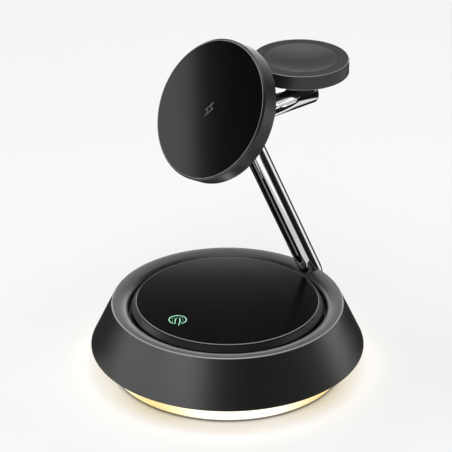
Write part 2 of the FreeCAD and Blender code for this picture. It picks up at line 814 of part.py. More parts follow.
NODES = [
    base_shell, pad_collar, pad_plate, base_chassis, foot_pad, chassis_screws, diffuser_ring, led_strip,
    led_chips, counterweight, main_board, usb_socket, pad_coil, pad_ferrite, touch_electrode, stem_tube,
    wire_harness, arm_cap, hinge_saddle, watch_boss, boss_screw, watch_shell, watch_dish, watch_coil,
    watch_magnet, watch_ferrite, watch_board, phone_shell, phone_face, phone_magnets, phone_coil,
    phone_ferrite, phone_board, phone_yoke, yoke_screws, hinge_pin, friction_washers,
]

os.makedirs("parts", exist_ok=True)
for make in NODES:
    solid = make()
    solid.exportStep("parts/" + make.__name__ + ".step")
    print(make.__name__, len(solid.Solids), solid.isValid(), round(solid.Volume / 1000, 2), "cm3")
print("phone face centre", face_centre, "hinge", hinge, "upright foot at y", round(leg_y, 2))
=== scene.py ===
# %% [markdown]
# # A charging stand with a lit base
# The stand has a round flared base with a charging pad, a bent bright stem, a tilting disc for a phone and
# a small flat disc for a watch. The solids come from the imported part, and this lesson dresses them. A cell
# makes helpers, a finish or a piece, and each piece is printed when it is dressed.

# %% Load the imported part
import json
import math

import bmesh
import bpy
from mathutils import Matrix, Vector


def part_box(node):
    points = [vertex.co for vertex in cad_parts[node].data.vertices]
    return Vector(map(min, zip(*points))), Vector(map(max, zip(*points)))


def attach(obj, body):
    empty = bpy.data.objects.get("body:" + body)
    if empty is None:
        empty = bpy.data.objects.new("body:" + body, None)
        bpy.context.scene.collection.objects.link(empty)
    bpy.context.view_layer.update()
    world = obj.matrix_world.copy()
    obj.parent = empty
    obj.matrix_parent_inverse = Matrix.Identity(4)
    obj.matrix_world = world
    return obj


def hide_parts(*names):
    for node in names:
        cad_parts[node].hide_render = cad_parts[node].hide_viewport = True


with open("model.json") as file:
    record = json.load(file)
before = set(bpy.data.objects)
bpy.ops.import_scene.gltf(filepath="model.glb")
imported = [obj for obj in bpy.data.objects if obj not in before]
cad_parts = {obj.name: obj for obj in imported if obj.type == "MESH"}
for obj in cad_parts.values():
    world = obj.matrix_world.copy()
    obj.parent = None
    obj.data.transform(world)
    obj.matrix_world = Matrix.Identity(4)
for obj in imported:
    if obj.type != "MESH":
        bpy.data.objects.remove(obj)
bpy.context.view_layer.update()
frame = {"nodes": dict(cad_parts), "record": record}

MM = 0.001
scene = bpy.context.scene

# %% [markdown]
# ## Camera
# The picture is square and was taken with a long lens from the right of the front, looking down. The angles
# and the focal length were fitted to the outlines of the base and the discs, so the camera is set from them
# directly.

# %% Camera
VIEW_AZIMUTH = math.radians(49.16)
VIEW_ELEVATION = math.radians(26.82)
IMAGE_SIDE = 452
FOCAL_PIXELS = 2340.0
SENSOR = 36.0
CAMERA_DISTANCE = 1.0
TARGET_RIGHT = -0.62 * MM
TARGET_UP = 57.77 * MM

toward_camera = Vector((math.sin(VIEW_AZIMUTH), -math.cos(VIEW_AZIMUTH), 0.0))
view_back = toward_camera * math.cos(VIEW_ELEVATION) + Vector((0.0, 0.0, math.sin(VIEW_ELEVATION)))
view_right = Vector((math.cos(VIEW_AZIMUTH), math.sin(VIEW_AZIMUTH), 0.0))
view_up = view_back.cross(view_right)

camera_data = bpy.data.cameras.new("camera")
camera_data.sensor_width = SENSOR
camera_data.lens = FOCAL_PIXELS / IMAGE_SIDE * SENSOR
camera_data.clip_end = 20.0
camera = bpy.data.objects.new("camera", camera_data)
target = view_right * TARGET_RIGHT + view_up * TARGET_UP
turn = Matrix((view_right, view_up, view_back)).transposed().to_4x4()
camera.matrix_world = Matrix.Translation(target + view_back * CAMERA_DISTANCE) @ turn
scene.collection.objects.link(camera)
scene.camera = camera
print("camera at", [round(c, 3) for c in camera.location], "lens", round(camera_data.lens, 1))

# %% [markdown]
# ## Shader helpers
# Every finish is a small node tree on a Principled shader. A few helpers keep the cells short: one adds a
# node and sets its sockets by name, one links nodes, one starts a finish with Object coordinates, so that a
# pattern keeps its place and its scale in metres on every piece, and the others make noise, ranges, colour
# mixes and bump.


# %% Shader helpers
def add(tree, kind, sockets=(), **settings):
    """Adds a node to a tree, with plain settings and socket values by name."""
    node = tree.nodes.new(kind)
    for key, value in settings.items():
        setattr(node, key, value)
    for key, value in dict(sockets).items():
        node.inputs[key].default_value = value
    return node


def feed(tree, node, **sources):
    """Links outputs to a node's sockets; an underscore stands for the space in a socket's name."""
    for key, source in sources.items():
        tree.links.new(source, node.inputs[key.replace("_", " ")])


def new_finish(name, **sockets):
    """A material on a Principled shader; returns it, its tree, the shader and Object coordinates."""
    material = bpy.data.materials.new(name)
    material.use_nodes = True
    tree = material.node_tree
    shader = tree.nodes["Principled BSDF"]
    for key, value in sockets.items():
        shader.inputs[key.replace("_", " ")].default_value = value
    where = add(tree, "ShaderNodeTexCoord").outputs["Object"]
    return material, tree, shader, where


def noise(tree, where, size, detail=3.0, stretch=(1.0, 1.0, 1.0)):
    """Noise of a given grain size in metres, stretched along the axes if asked."""
    mapping = add(tree, "ShaderNodeMapping", {"Scale": stretch})
    feed(tree, mapping, Vector=where)
    node = add(tree, "ShaderNodeTexNoise", {"Scale": 1.0 / size, "Detail": detail, "Roughness": 0.55})
    feed(tree, node, Vector=mapping.outputs["Vector"])
    return node.outputs["Fac"]


def between(tree, value, low, high, start=0.3, end=0.7):
    """Maps a value from one range to another, and keeps it inside."""
    limits = {"From Min": start, "From Max": end, "To Min": low, "To Max": high}
    node = add(tree, "ShaderNodeMapRange", limits)
    feed(tree, node, Value=value)
    return node.outputs["Result"]


def mixed(tree, factor, dark, light):
    """Mixes two colours by a factor; each is a colour or a socket."""
    node = add(tree, "ShaderNodeMix", data_type="RGBA")
    entries = [s for s in node.inputs if s.type == "RGBA"]
    for socket, colour in zip(entries, (dark, light)):
        if isinstance(colour, bpy.types.NodeSocket):
            tree.links.new(colour, socket)
        else:
            socket.default_value = (*colour, 1.0)
    feed(tree, node, Factor=factor)
    return next(s for s in node.outputs if s.type == "RGBA")


def grain(tree, shader, height, depth):
    """Bump from a height value, with its depth in metres."""
    node = add(tree, "ShaderNodeBump", {"Distance": depth, "Strength": 1.0})
    feed(tree, node, Height=height)
    feed(tree, shader, Normal=node.outputs["Normal"])


def tinted(colour, factor):
    """A colour made lighter or darker."""
    return [min(c * factor, 1.0) for c in colour]


def calc(tree, operation, *values):
    """A Math node; each value is a number or a socket."""
    node = add(tree, "ShaderNodeMath", operation=operation)
    for socket, value in zip(node.inputs, values):
        if isinstance(value, (int, float)):
            socket.default_value = value
        else:
            tree.links.new(value, socket)
    return node.outputs[0]


# %% [markdown]
# ## Finishes of the shells
# The shells are black moulded plastic with a fine satin grain: nearly no colour of its own, so what shows
# is the soft reflection of the lights. The two faces are polished like a piano lid, with a faint unevenness
# of gloss. Along some edges a paler colour is painted as a fine line: a painted highlight for the light that
# the edge catches. Each painted highlight is given as (radius, half width, height, half height) about the
# axis of the piece.


# %% Satin moulding and polished black
# Colour of the painted highlight lines, which stand for the light that an edge catches.
PAINTED_HIGHLIGHT_COLOUR = (0.32, 0.315, 0.305)
# Size and detail of the patches, tints of the colour, spread of the roughness, size and depth of the grain.
MOULDED = (14 * MM, 4.0, (0.85, 1.15), 0.05, 0.35 * MM, 0.003 * MM)
FINE_MOULDED = (14 * MM, 4.0, (0.85, 1.15), 0.05, 0.25 * MM, 0.003 * MM)
POLISHED = (9 * MM, 2.0, (0.8, 1.0), 0.03, 0.6 * MM, 0.0001 * MM)


def with_painted_highlights(tree, where, colour, cuts, place):
    """Paints a paler line along given edges of a round piece: a painted highlight."""
    if not cuts:
        return colour
    back = place.inverted()
    local = add(tree, "ShaderNodeMapping", {"Location": back.to_translation(), "Rotation": back.to_euler()})
    feed(tree, local, Vector=where)
    split = add(tree, "ShaderNodeSeparateXYZ")
    feed(tree, split, Vector=local.outputs["Vector"])
    x, y, z = split.outputs
    radius = calc(tree, "SQRT", calc(tree, "ADD", calc(tree, "MULTIPLY", x, x), calc(tree, "MULTIPLY", y, y)))
    # Each band is a painted highlight: a paler line where an edge catches light.
    for r, half_width, height, half_height in cuts:
        inside = calc(tree, "MULTIPLY", calc(tree, "COMPARE", radius, r, half_width),
                      calc(tree, "COMPARE", z, height, half_height))
        colour = mixed(tree, inside, colour, PAINTED_HIGHLIGHT_COLOUR)
    return colour


def skin(name, colour, roughness, level=0.5, cuts=(), place=Matrix(), kind=MOULDED, metallic=0.0,
         stretch=(1.0, 1.0, 1.0)):
    """Plastic, lacquer or metal with a fine grain and a slightly uneven colour and gloss."""
    patch, detail, (dark, light), spread, grain_size, depth = kind
    material, tree, shader, where = new_finish(name, Specular_IOR_Level=level, Metallic=metallic)
    patches = noise(tree, where, patch, detail)
    tone = mixed(tree, patches, tinted(colour, dark), tinted(colour, light))
    gloss = between(tree, patches, roughness * (1 - spread), roughness * (1 + spread))
    # The cuts are painted highlight lines along edges, in a paler colour.
    feed(tree, shader, Base_Color=with_painted_highlights(tree, where, tone, cuts, place), Roughness=gloss)
    grain(tree, shader, noise(tree, where, grain_size, 2.0, stretch), depth)
    return material


SHELL_BLACK = (0.0048, 0.0046, 0.0043)
LACQUER_BLACK = (0.0030, 0.0028, 0.0028)
LACQUER_ROUGHNESS = 0.13
SHELL_LEVEL = 0.75
SHELL_SKIN = (SHELL_BLACK, 0.40, SHELL_LEVEL)
DISH_SKIN = (tinted(SHELL_BLACK, 1.25), 0.42, SHELL_LEVEL)
shell_finish = skin("satin_shell", *SHELL_SKIN)
dish_finish = skin("soft_dish", *DISH_SKIN, kind=FINE_MOULDED)
chassis_finish = skin("chassis_moulding", (0.010, 0.010, 0.010), 0.5)
face_finish = skin("polished_face", LACQUER_BLACK, LACQUER_ROUGHNESS, 0.5, kind=POLISHED)
print("shell finishes", [m.name for m in (shell_finish, dish_finish, chassis_finish, face_finish)])

# %% [markdown]
# ## Finishes of metal and of the inner pieces
# Plated, cast and drawn metals differ in colour and in how even their gloss is. The inner pieces are rarely
# seen, but a board has tracks, a ferrite plate is a sintered ceramic with a speckle, and rubber is matt.


# %% Metals
def metal(name, colour, roughness, cloud, grain_size, depth, **more):
    """Metal with a cloudy gloss and a fine grain that may be stretched one way."""
    kind = (cloud, 3.0, (0.94, 1.04), 0.2, grain_size, depth)
    return skin(name, colour, roughness, kind=kind, metallic=1.0, **more)


DRAWN = (1.0, 0.1, 1.0)
chrome_finish = metal("plated_stem", (0.86, 0.86, 0.84), 0.06, 5 * MM, 0.8 * MM, 0.0003 * MM)
cast_finish = metal("cast_hinge", (0.30, 0.30, 0.31), 0.34, 4 * MM, 0.25 * MM, 0.003 * MM)
steel_finish = metal("drawn_steel", (0.62, 0.61, 0.59), 0.26, 3 * MM, 0.2 * MM, 0.002 * MM, stretch=DRAWN)
copper_finish = metal("copper_wire", (0.80, 0.36, 0.17), 0.28, 2 * MM, 0.15 * MM, 0.003 * MM)
gold_finish = metal("gold_contact", (0.95, 0.66, 0.26), 0.18, 1 * MM, 0.1 * MM, 0.0005 * MM)


# %% Rubber, ferrite, board and lamp
def speckled(name, colour, speck, roughness, size, depth):
    """A matt material with fine specks of a second colour."""
    material, tree, shader, where = new_finish(name, Roughness=roughness, Specular_IOR_Level=0.3)
    specks = noise(tree, where, size, 4.0)
    feed(tree, shader, Base_Color=mixed(tree, between(tree, specks, 0, 1, 0.45, 0.65), colour, speck))
    grain(tree, shader, specks, depth)
    return material


def printed_board(name):
    """Dark green board with lighter tracks and a little gloss."""
    material, tree, shader, where = new_finish(name, Roughness=0.38)
    cells = add(tree, "ShaderNodeTexVoronoi", {"Scale": 420.0}, feature="DISTANCE_TO_EDGE")
    feed(tree, cells, Vector=where)
    track = between(tree, cells.outputs["Distance"], 1.0, 0.0, 0.02, 0.06)
    feed(tree, shader, Base_Color=mixed(tree, track, (0.006, 0.035, 0.018), (0.02, 0.10, 0.05)))
    grain(tree, shader, track, 0.02 * MM)
    return material


def glowing(name, dim, bright, strength, size):
    """A lit surface with a soft unevenness."""
    material, tree, shader, where = new_finish(name, Roughness=0.4, Emission_Strength=strength)
    cloud = noise(tree, where, size, 2.0)
    colour = mixed(tree, cloud, dim, bright)
    feed(tree, shader, Emission_Color=colour)
    feed(tree, shader, Base_Color=mixed(tree, cloud, tinted(dim, 0.3), tinted(bright, 0.3)))
    return material


RUBBER_TONES = (0.010, 0.010, 0.010), (0.018, 0.018, 0.018)
FERRITE_TONES = (0.020, 0.019, 0.018), (0.045, 0.043, 0.042)
rubber_finish = speckled("foot_rubber", *RUBBER_TONES, 0.75, 0.4 * MM, 0.02 * MM)
ferrite_finish = speckled("sintered_ferrite", *FERRITE_TONES, 0.6, 0.3 * MM, 0.01 * MM)
board_finish = printed_board("printed_board")
lamp_finish = glowing("lamp_phosphor", (1.0, 0.74, 0.34), (1.0, 0.86, 0.55), 2.0, 0.8 * MM)
touch_finish = glowing("touch_light", (0.26, 0.72, 0.46), (0.34, 0.84, 0.56), 1.0, 1.5 * MM)
print("inner finishes", [m.name for m in (rubber_finish, ferrite_finish, board_finish, lamp_finish)])

# %% [markdown]
# ## Turned shapes
# Nearly every piece of the stand is round, so one helper turns an outline about the Z axis. An outline is a
# list of corners (radius, height, ease), and a corner with an ease becomes a small arc, because a moulded
# edge is never sharp: the arc is what catches the thin bright line. Such a corner is also held by a close
# extra ring on each side, so that smooth shading doesn't spread the edge over the flat faces.

# %% Turning helpers
SEGMENTS = 224
EDGE_HOLD = 0.12 * MM
EASE_SHARE = 0.48
SHARP_ANGLE = math.radians(40)
MERGE = 1e-7


def eased(corners, closed=False, steps=4):
    """Outline points of (radius, height) or (radius, height, ease) corners, with an arc at each ease."""
    points = []
    count = len(corners)
    for i, (radius, height, *ease) in enumerate(corners):
        here = Vector((radius, height))
        if not ease or (not closed and i in (0, count - 1)):
            points.append(here)
            continue
        back = Vector(corners[i - 1][:2]) - here
        ahead = Vector(corners[(i + 1) % count][:2]) - here
        half = back.angle(ahead) / 2
        reach = min(ease[0] / math.tan(half), EASE_SHARE * back.length, EASE_SHARE * ahead.length)
        back.normalize()
        ahead.normalize()
        arc_r = reach * math.tan(half)
        centre = here + (back + ahead).normalized() * (arc_r / math.sin(half))
        first = here + back * reach - centre
        sweep = first.angle_signed(here + ahead * reach - centre)
        points.append(here + back * (reach + EDGE_HOLD))
        for k in range(steps + 1):
            points.append(centre + Matrix.Rotation(-sweep * k / steps, 2) @ first)
        points.append(here + ahead * (reach + EDGE_HOLD))
    return points


def new_mesh(name, verts, faces=(), edges=()):
    """A mesh from its points, faces and edges."""
    mesh = bpy.data.meshes.new(name)
    mesh.from_pydata(verts, edges, faces)
    return mesh


def placed(name, data):
    """A new object in the scene."""
    thing = bpy.data.objects.new(name, data)
    scene.collection.objects.link(thing)
    return thing


def baked(piece):
    """The mesh of an object with its modifiers applied."""
    graph = bpy.context.evaluated_depsgraph_get()
    return bpy.data.meshes.new_from_object(piece.evaluated_get(graph), depsgraph=graph)


def shade(mesh):
    """Smooth shading up to the sharp edges."""
    mesh.polygons.foreach_set("use_smooth", [True] * len(mesh.polygons))
    mesh.set_sharp_from_angle(angle=SHARP_ANGLE)


def settled(name, mesh, place=None):
    """Sets a mesh in its place, merges its doubles, turns its faces outwards and shades it."""
    if place is not None:
        mesh.transform(place)
    work = bmesh.new()
    work.from_mesh(mesh)
    bmesh.ops.remove_doubles(work, verts=work.verts, dist=MERGE)
    bmesh.ops.recalc_face_normals(work, faces=work.faces)
    work.to_mesh(mesh)
    work.free()
    shade(mesh)
    return placed(name, mesh)


def turned(name, outline, closed=False, segments=SEGMENTS, place=None):
    """A mesh object turned from outline points about Z, then set in its place."""
    verts, rings, faces = [], [], []
    for radius, height in outline:
        if radius < MERGE:
            rings.append([len(verts)])
            verts.append((0.0, 0.0, height))
            continue
        rings.append(range(len(verts), len(verts) + segments))
        for k in range(segments):
            angle = 2 * math.pi * k / segments
            verts.append((radius * math.cos(angle), radius * math.sin(angle), height))
    pairs = list(zip(rings, rings[1:]))
    if closed:
        pairs.append((rings[-1], rings[0]))
    for low, high in pairs:
        for k in range(segments):
            after = (k + 1) % segments
            corners = [low[k % len(low)], low[after % len(low)], high[after % len(high)], high[k % len(high)]]
            face = list(dict.fromkeys(corners))
            if len(face) > 2:
                faces.append(face)
    return settled(name, new_mesh(name, verts, faces), place)


def eased_turned(name, corners, closed=False, **more):
    """A mesh object turned from corners with eases."""
    return turned(name, eased(corners, closed), closed, **more)


def dress(piece, finish, body, slot, *nodes):
    """Gives a piece its finish, its body and the nodes that it stands for; the slot is not used."""
    piece.data.materials.clear()
    piece.data.materials.append(finish)
    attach(piece, body)
    if nodes:
        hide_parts(*nodes)
    print(piece.name, len(piece.data.polygons), "faces, for", list(nodes))
    return piece


# %% [markdown]
# ## Geometry Nodes helpers
# What repeats or follows a path is grown by a node tree. A tree has named inputs, ends in Realize Instances
# and Set Material, and runs once: the result becomes a plain mesh and nothing stays live on the piece.


# %% Geometry Nodes helpers
def geometry_tree(name, inputs):
    """A Geometry Nodes tree with a geometry in and out, and the named inputs given."""
    tree = bpy.data.node_groups.new(name, "GeometryNodeTree")
    tree.interface.new_socket("Geometry", in_out="INPUT", socket_type="NodeSocketGeometry")
    tree.interface.new_socket("Geometry", in_out="OUTPUT", socket_type="NodeSocketGeometry")
    for label, kind in inputs.items():
        tree.interface.new_socket(label, in_out="INPUT", socket_type="NodeSocket" + kind)
    return tree, add(tree, "NodeGroupInput"), add(tree, "NodeGroupOutput")


def wire_up(tree, wires):
    """Links nodes, each wire given as (node, output, node, input)."""
    for start, output, end, entry in wires:
        tree.links.new(start.outputs[output], end.inputs[entry])


def end_tree(tree, source, sink, last, output):
    """Ends a tree after its last node with Realize Instances and Set Material."""
    realize = add(tree, "GeometryNodeRealizeInstances")
    paint = add(tree, "GeometryNodeSetMaterial")
    wire_up(tree, [
        (last, output, realize, "Geometry"),
        (realize, "Geometry", paint, "Geometry"),
        (source, "Finish", paint, "Material"),
        (paint, "Geometry", sink, "Geometry"),
    ])


def grown(name, start_mesh, tree, values):
    """Runs a tree on a mesh and returns the result as a plain mesh."""
    holder = placed(name + "_start", start_mesh)
    modifier = holder.modifiers.new("grow", "NODES")
    modifier.node_group = tree
    for item in tree.interface.items_tree:
        if item.in_out == "INPUT" and item.name in values:
            modifier[item.identifier] = values[item.name]
    mesh = baked(holder)
    mesh.name = name
    holder.modifiers.remove(modifier)
    bpy.data.objects.remove(holder)
    return mesh


def path_mesh(name, corners):
    """A mesh of edges from corner to corner."""
    return new_mesh(name, corners, edges=[(i, i + 1) for i in range(len(corners) - 1)])


# %% [markdown]
# ## Stem
# The stem is one plated tube bent twice. Its path has four corners: the end in the base, the bend at the
# rim, the bend behind the phone disc and the end of the arm. The tree rounds the corners of the path and
# sweeps a circle along it. The wall comes from a Solidify modifier, because the tube is open inside. The
# polished pad in the picture doesn't show the stem, so the stem is left out of what other pieces mirror.


# %% Tree for a bent tube
def bent_tube_tree():
    """Path corners to a round tube: rounds the corners and sweeps a circle along them."""
    tree, source, sink = geometry_tree("bent_tube", {
        "Tube radius": "Float", "Bend radius": "Float", "Bend steps": "Int", "Sides": "Int", "Caps": "Bool",
        "Finish": "Material",
    })
    curve = add(tree, "GeometryNodeMeshToCurve")
    fillet = add(tree, "GeometryNodeFilletCurve", mode="POLY")
    circle = add(tree, "GeometryNodeCurvePrimitiveCircle")
    sweep = add(tree, "GeometryNodeCurveToMesh")
    wire_up(tree, [
        (source, "Geometry", curve, "Mesh"),
        (curve, "Curve", fillet, "Curve"),
        (source, "Bend steps", fillet, "Count"),
        (source, "Bend radius", fillet, "Radius"),
        (source, "Sides", circle, "Resolution"),
        (source, "Tube radius", circle, "Radius"),
        (fillet, "Curve", sweep, "Curve"),
        (circle, "Curve", sweep, "Profile Curve"),
        (source, "Caps", sweep, "Fill Caps"),
    ])
    end_tree(tree, source, sink, sweep, "Mesh")
    return tree


tube_tree = bent_tube_tree()

# %% Bent stem
STEM_R = 4.75 * MM
STEM_BORE_R = 3.7 * MM
STEM_BEND_R = 11.0 * MM
STEM_LEAN = math.radians(26.4)
FOOT_BEND_DEPTH = 3.3 * MM
CAP_T = 0.7 * MM
shell_low, shell_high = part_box("base_shell")
stem_low, stem_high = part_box("stem_tube")
cap_low, cap_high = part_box("arm_cap")
RIM_Z = shell_high.z
ARM_Z = stem_high.z - STEM_R
LEG_Y = stem_high.y - STEM_R
ARM_END_Y = cap_high.y - CAP_T
foot_bend_z = RIM_Z - FOOT_BEND_DEPTH
apex_y = LEG_Y - (ARM_Z - foot_bend_z) * math.tan(STEM_LEAN)
stem_path = [(0, LEG_Y, stem_low.z), (0, LEG_Y, foot_bend_z), (0, apex_y, ARM_Z), (0, ARM_END_Y, ARM_Z)]
tube_values = {"Bend radius": STEM_BEND_R, "Bend steps": 28, "Sides": 96, "Finish": chrome_finish}

stem_mesh = grown("bright_stem", path_mesh("stem_path", stem_path), tube_tree,
                  {**tube_values, "Tube radius": STEM_R, "Caps": False})
stem = settled("bright_stem", stem_mesh)
wall = stem.modifiers.new("wall", "SOLIDIFY")
wall.thickness = STEM_R - STEM_BORE_R
wall.offset = -1.0
stem.visible_glossy = False
dress(stem, chrome_finish, "stand", "bright_tube", "stem_tube")

# %% [markdown]
# ## Arm cap
# The arm's open end is closed by a small dark plug with a rounded edge.

# %% Arm cap
cap_corners = [
    (0.0, cap_low.y),
    (STEM_BORE_R, cap_low.y, 0.2 * MM),
    (STEM_BORE_R, ARM_END_Y),
    (STEM_R, ARM_END_Y),
    (STEM_R, cap_high.y, 0.5 * MM),
    (0.0, cap_high.y),
]
along_arm = Matrix.Translation((0.0, 0.0, ARM_Z)) @ Matrix.Rotation(math.radians(-90), 4, "X")
cap = eased_turned("arm_plug", cap_corners, segments=96, place=along_arm)
dress(cap, chassis_finish, "stand", "chassis_plastic", "arm_cap")

# %% [markdown]
# ## Base housing
# The housing is one moulding: a straight flared side, a crisp rim with a fine chamfer, a ring that rolls
# down into the groove, and a ledge for the pad. It is turned first.

# %% Turned housing
FOOT_R = shell_high.x
FOOT_Z = 10.0 * MM
RIM_R = 48.8 * MM
WALL = 2.2 * MM
RIM_CHAMFER = 0.3 * MM
RING_INNER_R = 41.5 * MM
RING_ROUND = 3.6 * MM
RING_ROLL = 5.6 * MM
LEDGE_Z = 24.0 * MM
LEDGE_T = 2.0 * MM
LEDGE_R = 36.0 * MM
FINE_EASE = 0.08 * MM
flare = (FOOT_R - RIM_R) / (RIM_Z - FOOT_Z)
wall_across = WALL * math.sqrt(1 + flare * flare)
under_z = RIM_Z - WALL


def side_r(z):
    """Radius of the flared side at a height."""
    return RIM_R + (RIM_Z - z) * flare


def roll(outer_r, inner_r, top_z, drop, steps=14):
    """Corners of a soft roll from a flat top down to an upright wall, a quarter of an ellipse."""
    reach = outer_r - inner_r
    angles = [math.pi / 2 * k / steps for k in range(steps + 1)]
    return [(outer_r - reach * math.sin(a), top_z - drop * (1 - math.cos(a))) for a in angles]


housing_outline = eased([
    (FOOT_R, FOOT_Z, 0.25 * MM),
    (side_r(RIM_Z - RIM_CHAMFER), RIM_Z - RIM_CHAMFER, FINE_EASE),
    (RIM_R - RIM_CHAMFER, RIM_Z, FINE_EASE),
    *roll(RING_INNER_R + RING_ROLL, RING_INNER_R, RIM_Z, RING_ROUND),
    (RING_INNER_R, LEDGE_Z),
    (LEDGE_R, LEDGE_Z, 0.2 * MM),
    (LEDGE_R, LEDGE_Z - LEDGE_T, 0.2 * MM),
    (RING_INNER_R + WALL, LEDGE_Z - LEDGE_T),
    (RING_INNER_R + WALL, under_z),
    (side_r(under_z) - wall_across, under_z),
    (FOOT_R - wall_across, FOOT_Z, 0.25 * MM),
], closed=True, steps=8)
housing = turned("base_housing", housing_outline, closed=True)
print("housing outline points", len(housing_outline))

# %% [markdown]
# The screw bosses, the block behind the inlet and the socket for the stem aren't round about the axis. They
# are joined or cut with Boolean modifiers, which keep the cuts exact where they meet the flared side.


# %% Carving helpers
def carve(piece, tool, operation):
    """Joins a tool shape to a piece, cuts it off or keeps what is common, and removes the tool."""
    step = piece.modifiers.new("carve", "BOOLEAN")
    step.operation = operation
    step.solver = "EXACT"
    step.object = tool
    mesh = baked(piece)
    piece.modifiers.clear()
    piece.data = mesh
    bpy.data.objects.remove(tool)


def bar(name, width, height, corner, y_span, z_middle, x_middle=0.0, steps=8):
    """A bar along Y with rounded corners."""
    outline = []
    for quarter, (sx, sz) in enumerate([(1, 1), (-1, 1), (-1, -1), (1, -1)]):
        for k in range(steps + 1 if corner else 1):
            angle = math.pi / 2 * (quarter + k / steps)
            outline.append((x_middle + sx * (width / 2 - corner) + corner * math.cos(angle),
                            z_middle + sz * (height / 2 - corner) + corner * math.sin(angle)))
    count = len(outline)
    verts = [(x, y, z) for y in y_span for x, z in outline]
    sides = [(k, (k + 1) % count, count + (k + 1) % count, count + k) for k in range(count)]
    ends = [tuple(range(count)), tuple(range(2 * count - 1, count - 1, -1))]
    return settled(name, new_mesh(name, verts, sides + ends))


# %% Bosses, inlet block and stem socket
BOSS_R = 3.2 * MM
BOSS_CIRCLE_R = 38.5 * MM
BOSS_COUNT = 4
PILOT_R = 1.18 * MM
PILOT_TOP = 12.6 * MM
RECESS_W = 13.0 * MM
RECESS_H = 6.6 * MM
RECESS_CORNER = 1.5 * MM
RECESS_WALL = 1.6 * MM
RECESS_SILL = 0.8 * MM
SOCKET_GAP = 0.08 * MM
inlet_low, inlet_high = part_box("usb_socket")
inlet_z = (inlet_low.z + inlet_high.z) / 2
recess_y = inlet_high.y
block_w = RECESS_W + 2 * RECESS_WALL


def round_post(name, radius, z_span, x=0.0, y=0.0):
    """An upright round post."""
    low, high = z_span
    place = Matrix.Translation((x, y, 0.0))
    return turned(name, [(0, low), (radius, low), (radius, high), (0, high)], segments=48, place=place)


for k in range(BOSS_COUNT):
    angle = math.radians(45 + 360 / BOSS_COUNT * k)
    spot = (BOSS_CIRCLE_R * math.cos(angle), BOSS_CIRCLE_R * math.sin(angle))
    boss = round_post("boss", BOSS_R, (shell_low.z, LEDGE_Z - LEDGE_T / 2), *spot)
    carve(boss, round_post("pilot", PILOT_R, (0.0, PILOT_TOP), *spot), "DIFFERENCE")
    carve(housing, boss, "UNION")

sill_z = inlet_z - RECESS_H / 2 - RECESS_SILL
inner_side = turned("inner_side", [(0, FOOT_Z), (side_r(FOOT_Z) - WALL / 2, FOOT_Z),
                                   (side_r(RIM_Z) - WALL / 2, RIM_Z), (0, RIM_Z)])
blocks = [
    ("inlet_block", recess_y - RECESS_WALL, sill_z, stem_low.z + SOCKET_GAP),
    ("socket_block", RING_INNER_R + WALL / 2, stem_low.z, under_z + WALL / 2),
]
for name, y_near, z_low, z_high in blocks:
    block = bar(name, block_w, z_high - z_low, 0, (y_near, FOOT_R), (z_low + z_high) / 2)
    trim = inner_side.copy()
    scene.collection.objects.link(trim)
    carve(block, trim, "INTERSECT")
    carve(housing, block, "UNION")
bpy.data.objects.remove(inner_side)

recess = bar("recess", RECESS_W, RECESS_H, RECESS_CORNER, (recess_y, FOOT_R + WALL), inlet_z)
carve(housing, recess, "DIFFERENCE")
mouth_w = inlet_high.x - inlet_low.x + 2 * SOCKET_GAP
mouth_h = inlet_high.z - inlet_low.z + 2 * SOCKET_GAP
mouth_span = (recess_y - 2 * RECESS_WALL, FOOT_R + WALL)
carve(housing, bar("mouth", mouth_w, mouth_h, mouth_h / 2, mouth_span, inlet_z), "DIFFERENCE")
socket_mesh = grown("stem_socket", path_mesh("socket_path", stem_path[:3]), tube_tree,
                    {**tube_values, "Tube radius": STEM_R + SOCKET_GAP, "Caps": True})
carve(housing, settled("stem_socket", socket_mesh), "DIFFERENCE")
shade(housing.data)
# A painted highlight line along the rim's chamfer.
rim_highlight = (RIM_R, 0.3 * MM, RIM_Z - RIM_CHAMFER / 2, RIM_CHAMFER * 0.6)
housing_finish = skin("housing_with_highlight", *SHELL_SKIN, [rim_highlight])
dress(housing, housing_finish, "stand", "shell_black", "base_shell")

# %% [markdown]
# ## Pad
# The pad is a thin polished plate on a raised collar. The collar slopes out to a soft shoulder in the
# groove, and its edge shows as a second fine line under the plate's own chamfer.

# %% Collar and plate
plate_low, plate_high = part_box("pad_plate")
collar_low, collar_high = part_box("pad_collar")
PAD_R = plate_high.x
COLLAR_R = collar_high.x
PLATE_CHAMFER = 0.2 * MM
COLLAR_STEP = 0.15 * MM
SHOULDER_DROP = 2.0 * MM
SHOULDER_ROUND = 0.5 * MM
COLLAR_WALL = 3.4 * MM
DECK_T = 1.8 * MM

collar_corners = [
    (0.0, collar_high.z),
    (PAD_R + COLLAR_STEP, collar_high.z, FINE_EASE),
    (COLLAR_R - SHOULDER_ROUND * 0.4, collar_high.z - SHOULDER_DROP, SHOULDER_ROUND),
    (COLLAR_R, collar_low.z, 0.1 * MM),
    (COLLAR_R - COLLAR_WALL, collar_low.z, 0.1 * MM),
    (COLLAR_R - COLLAR_WALL, collar_high.z - DECK_T),
    (0.0, collar_high.z - DECK_T),
]
dress(eased_turned("pad_rise", collar_corners), shell_finish, "stand", "shell_black", "pad_collar")

plate_corners = [
    (0.0, plate_low.z),
    (PAD_R, plate_low.z),
    (PAD_R, plate_high.z - PLATE_CHAMFER, FINE_EASE),
    (PAD_R - PLATE_CHAMFER, plate_high.z, FINE_EASE),
    (0.0, plate_high.z),
]
# A painted highlight line along the plate's chamfer.
plate_highlight = (PAD_R, PLATE_CHAMFER * 1.4, plate_high.z - PLATE_CHAMFER / 2, PLATE_CHAMFER)
pad_finish = skin("polished_pad", LACQUER_BLACK, LACQUER_ROUGHNESS, 0.30, [plate_highlight], kind=POLISHED)
dress(eased_turned("pad_top", plate_corners), pad_finish, "stand", "gloss_black", "pad_plate")

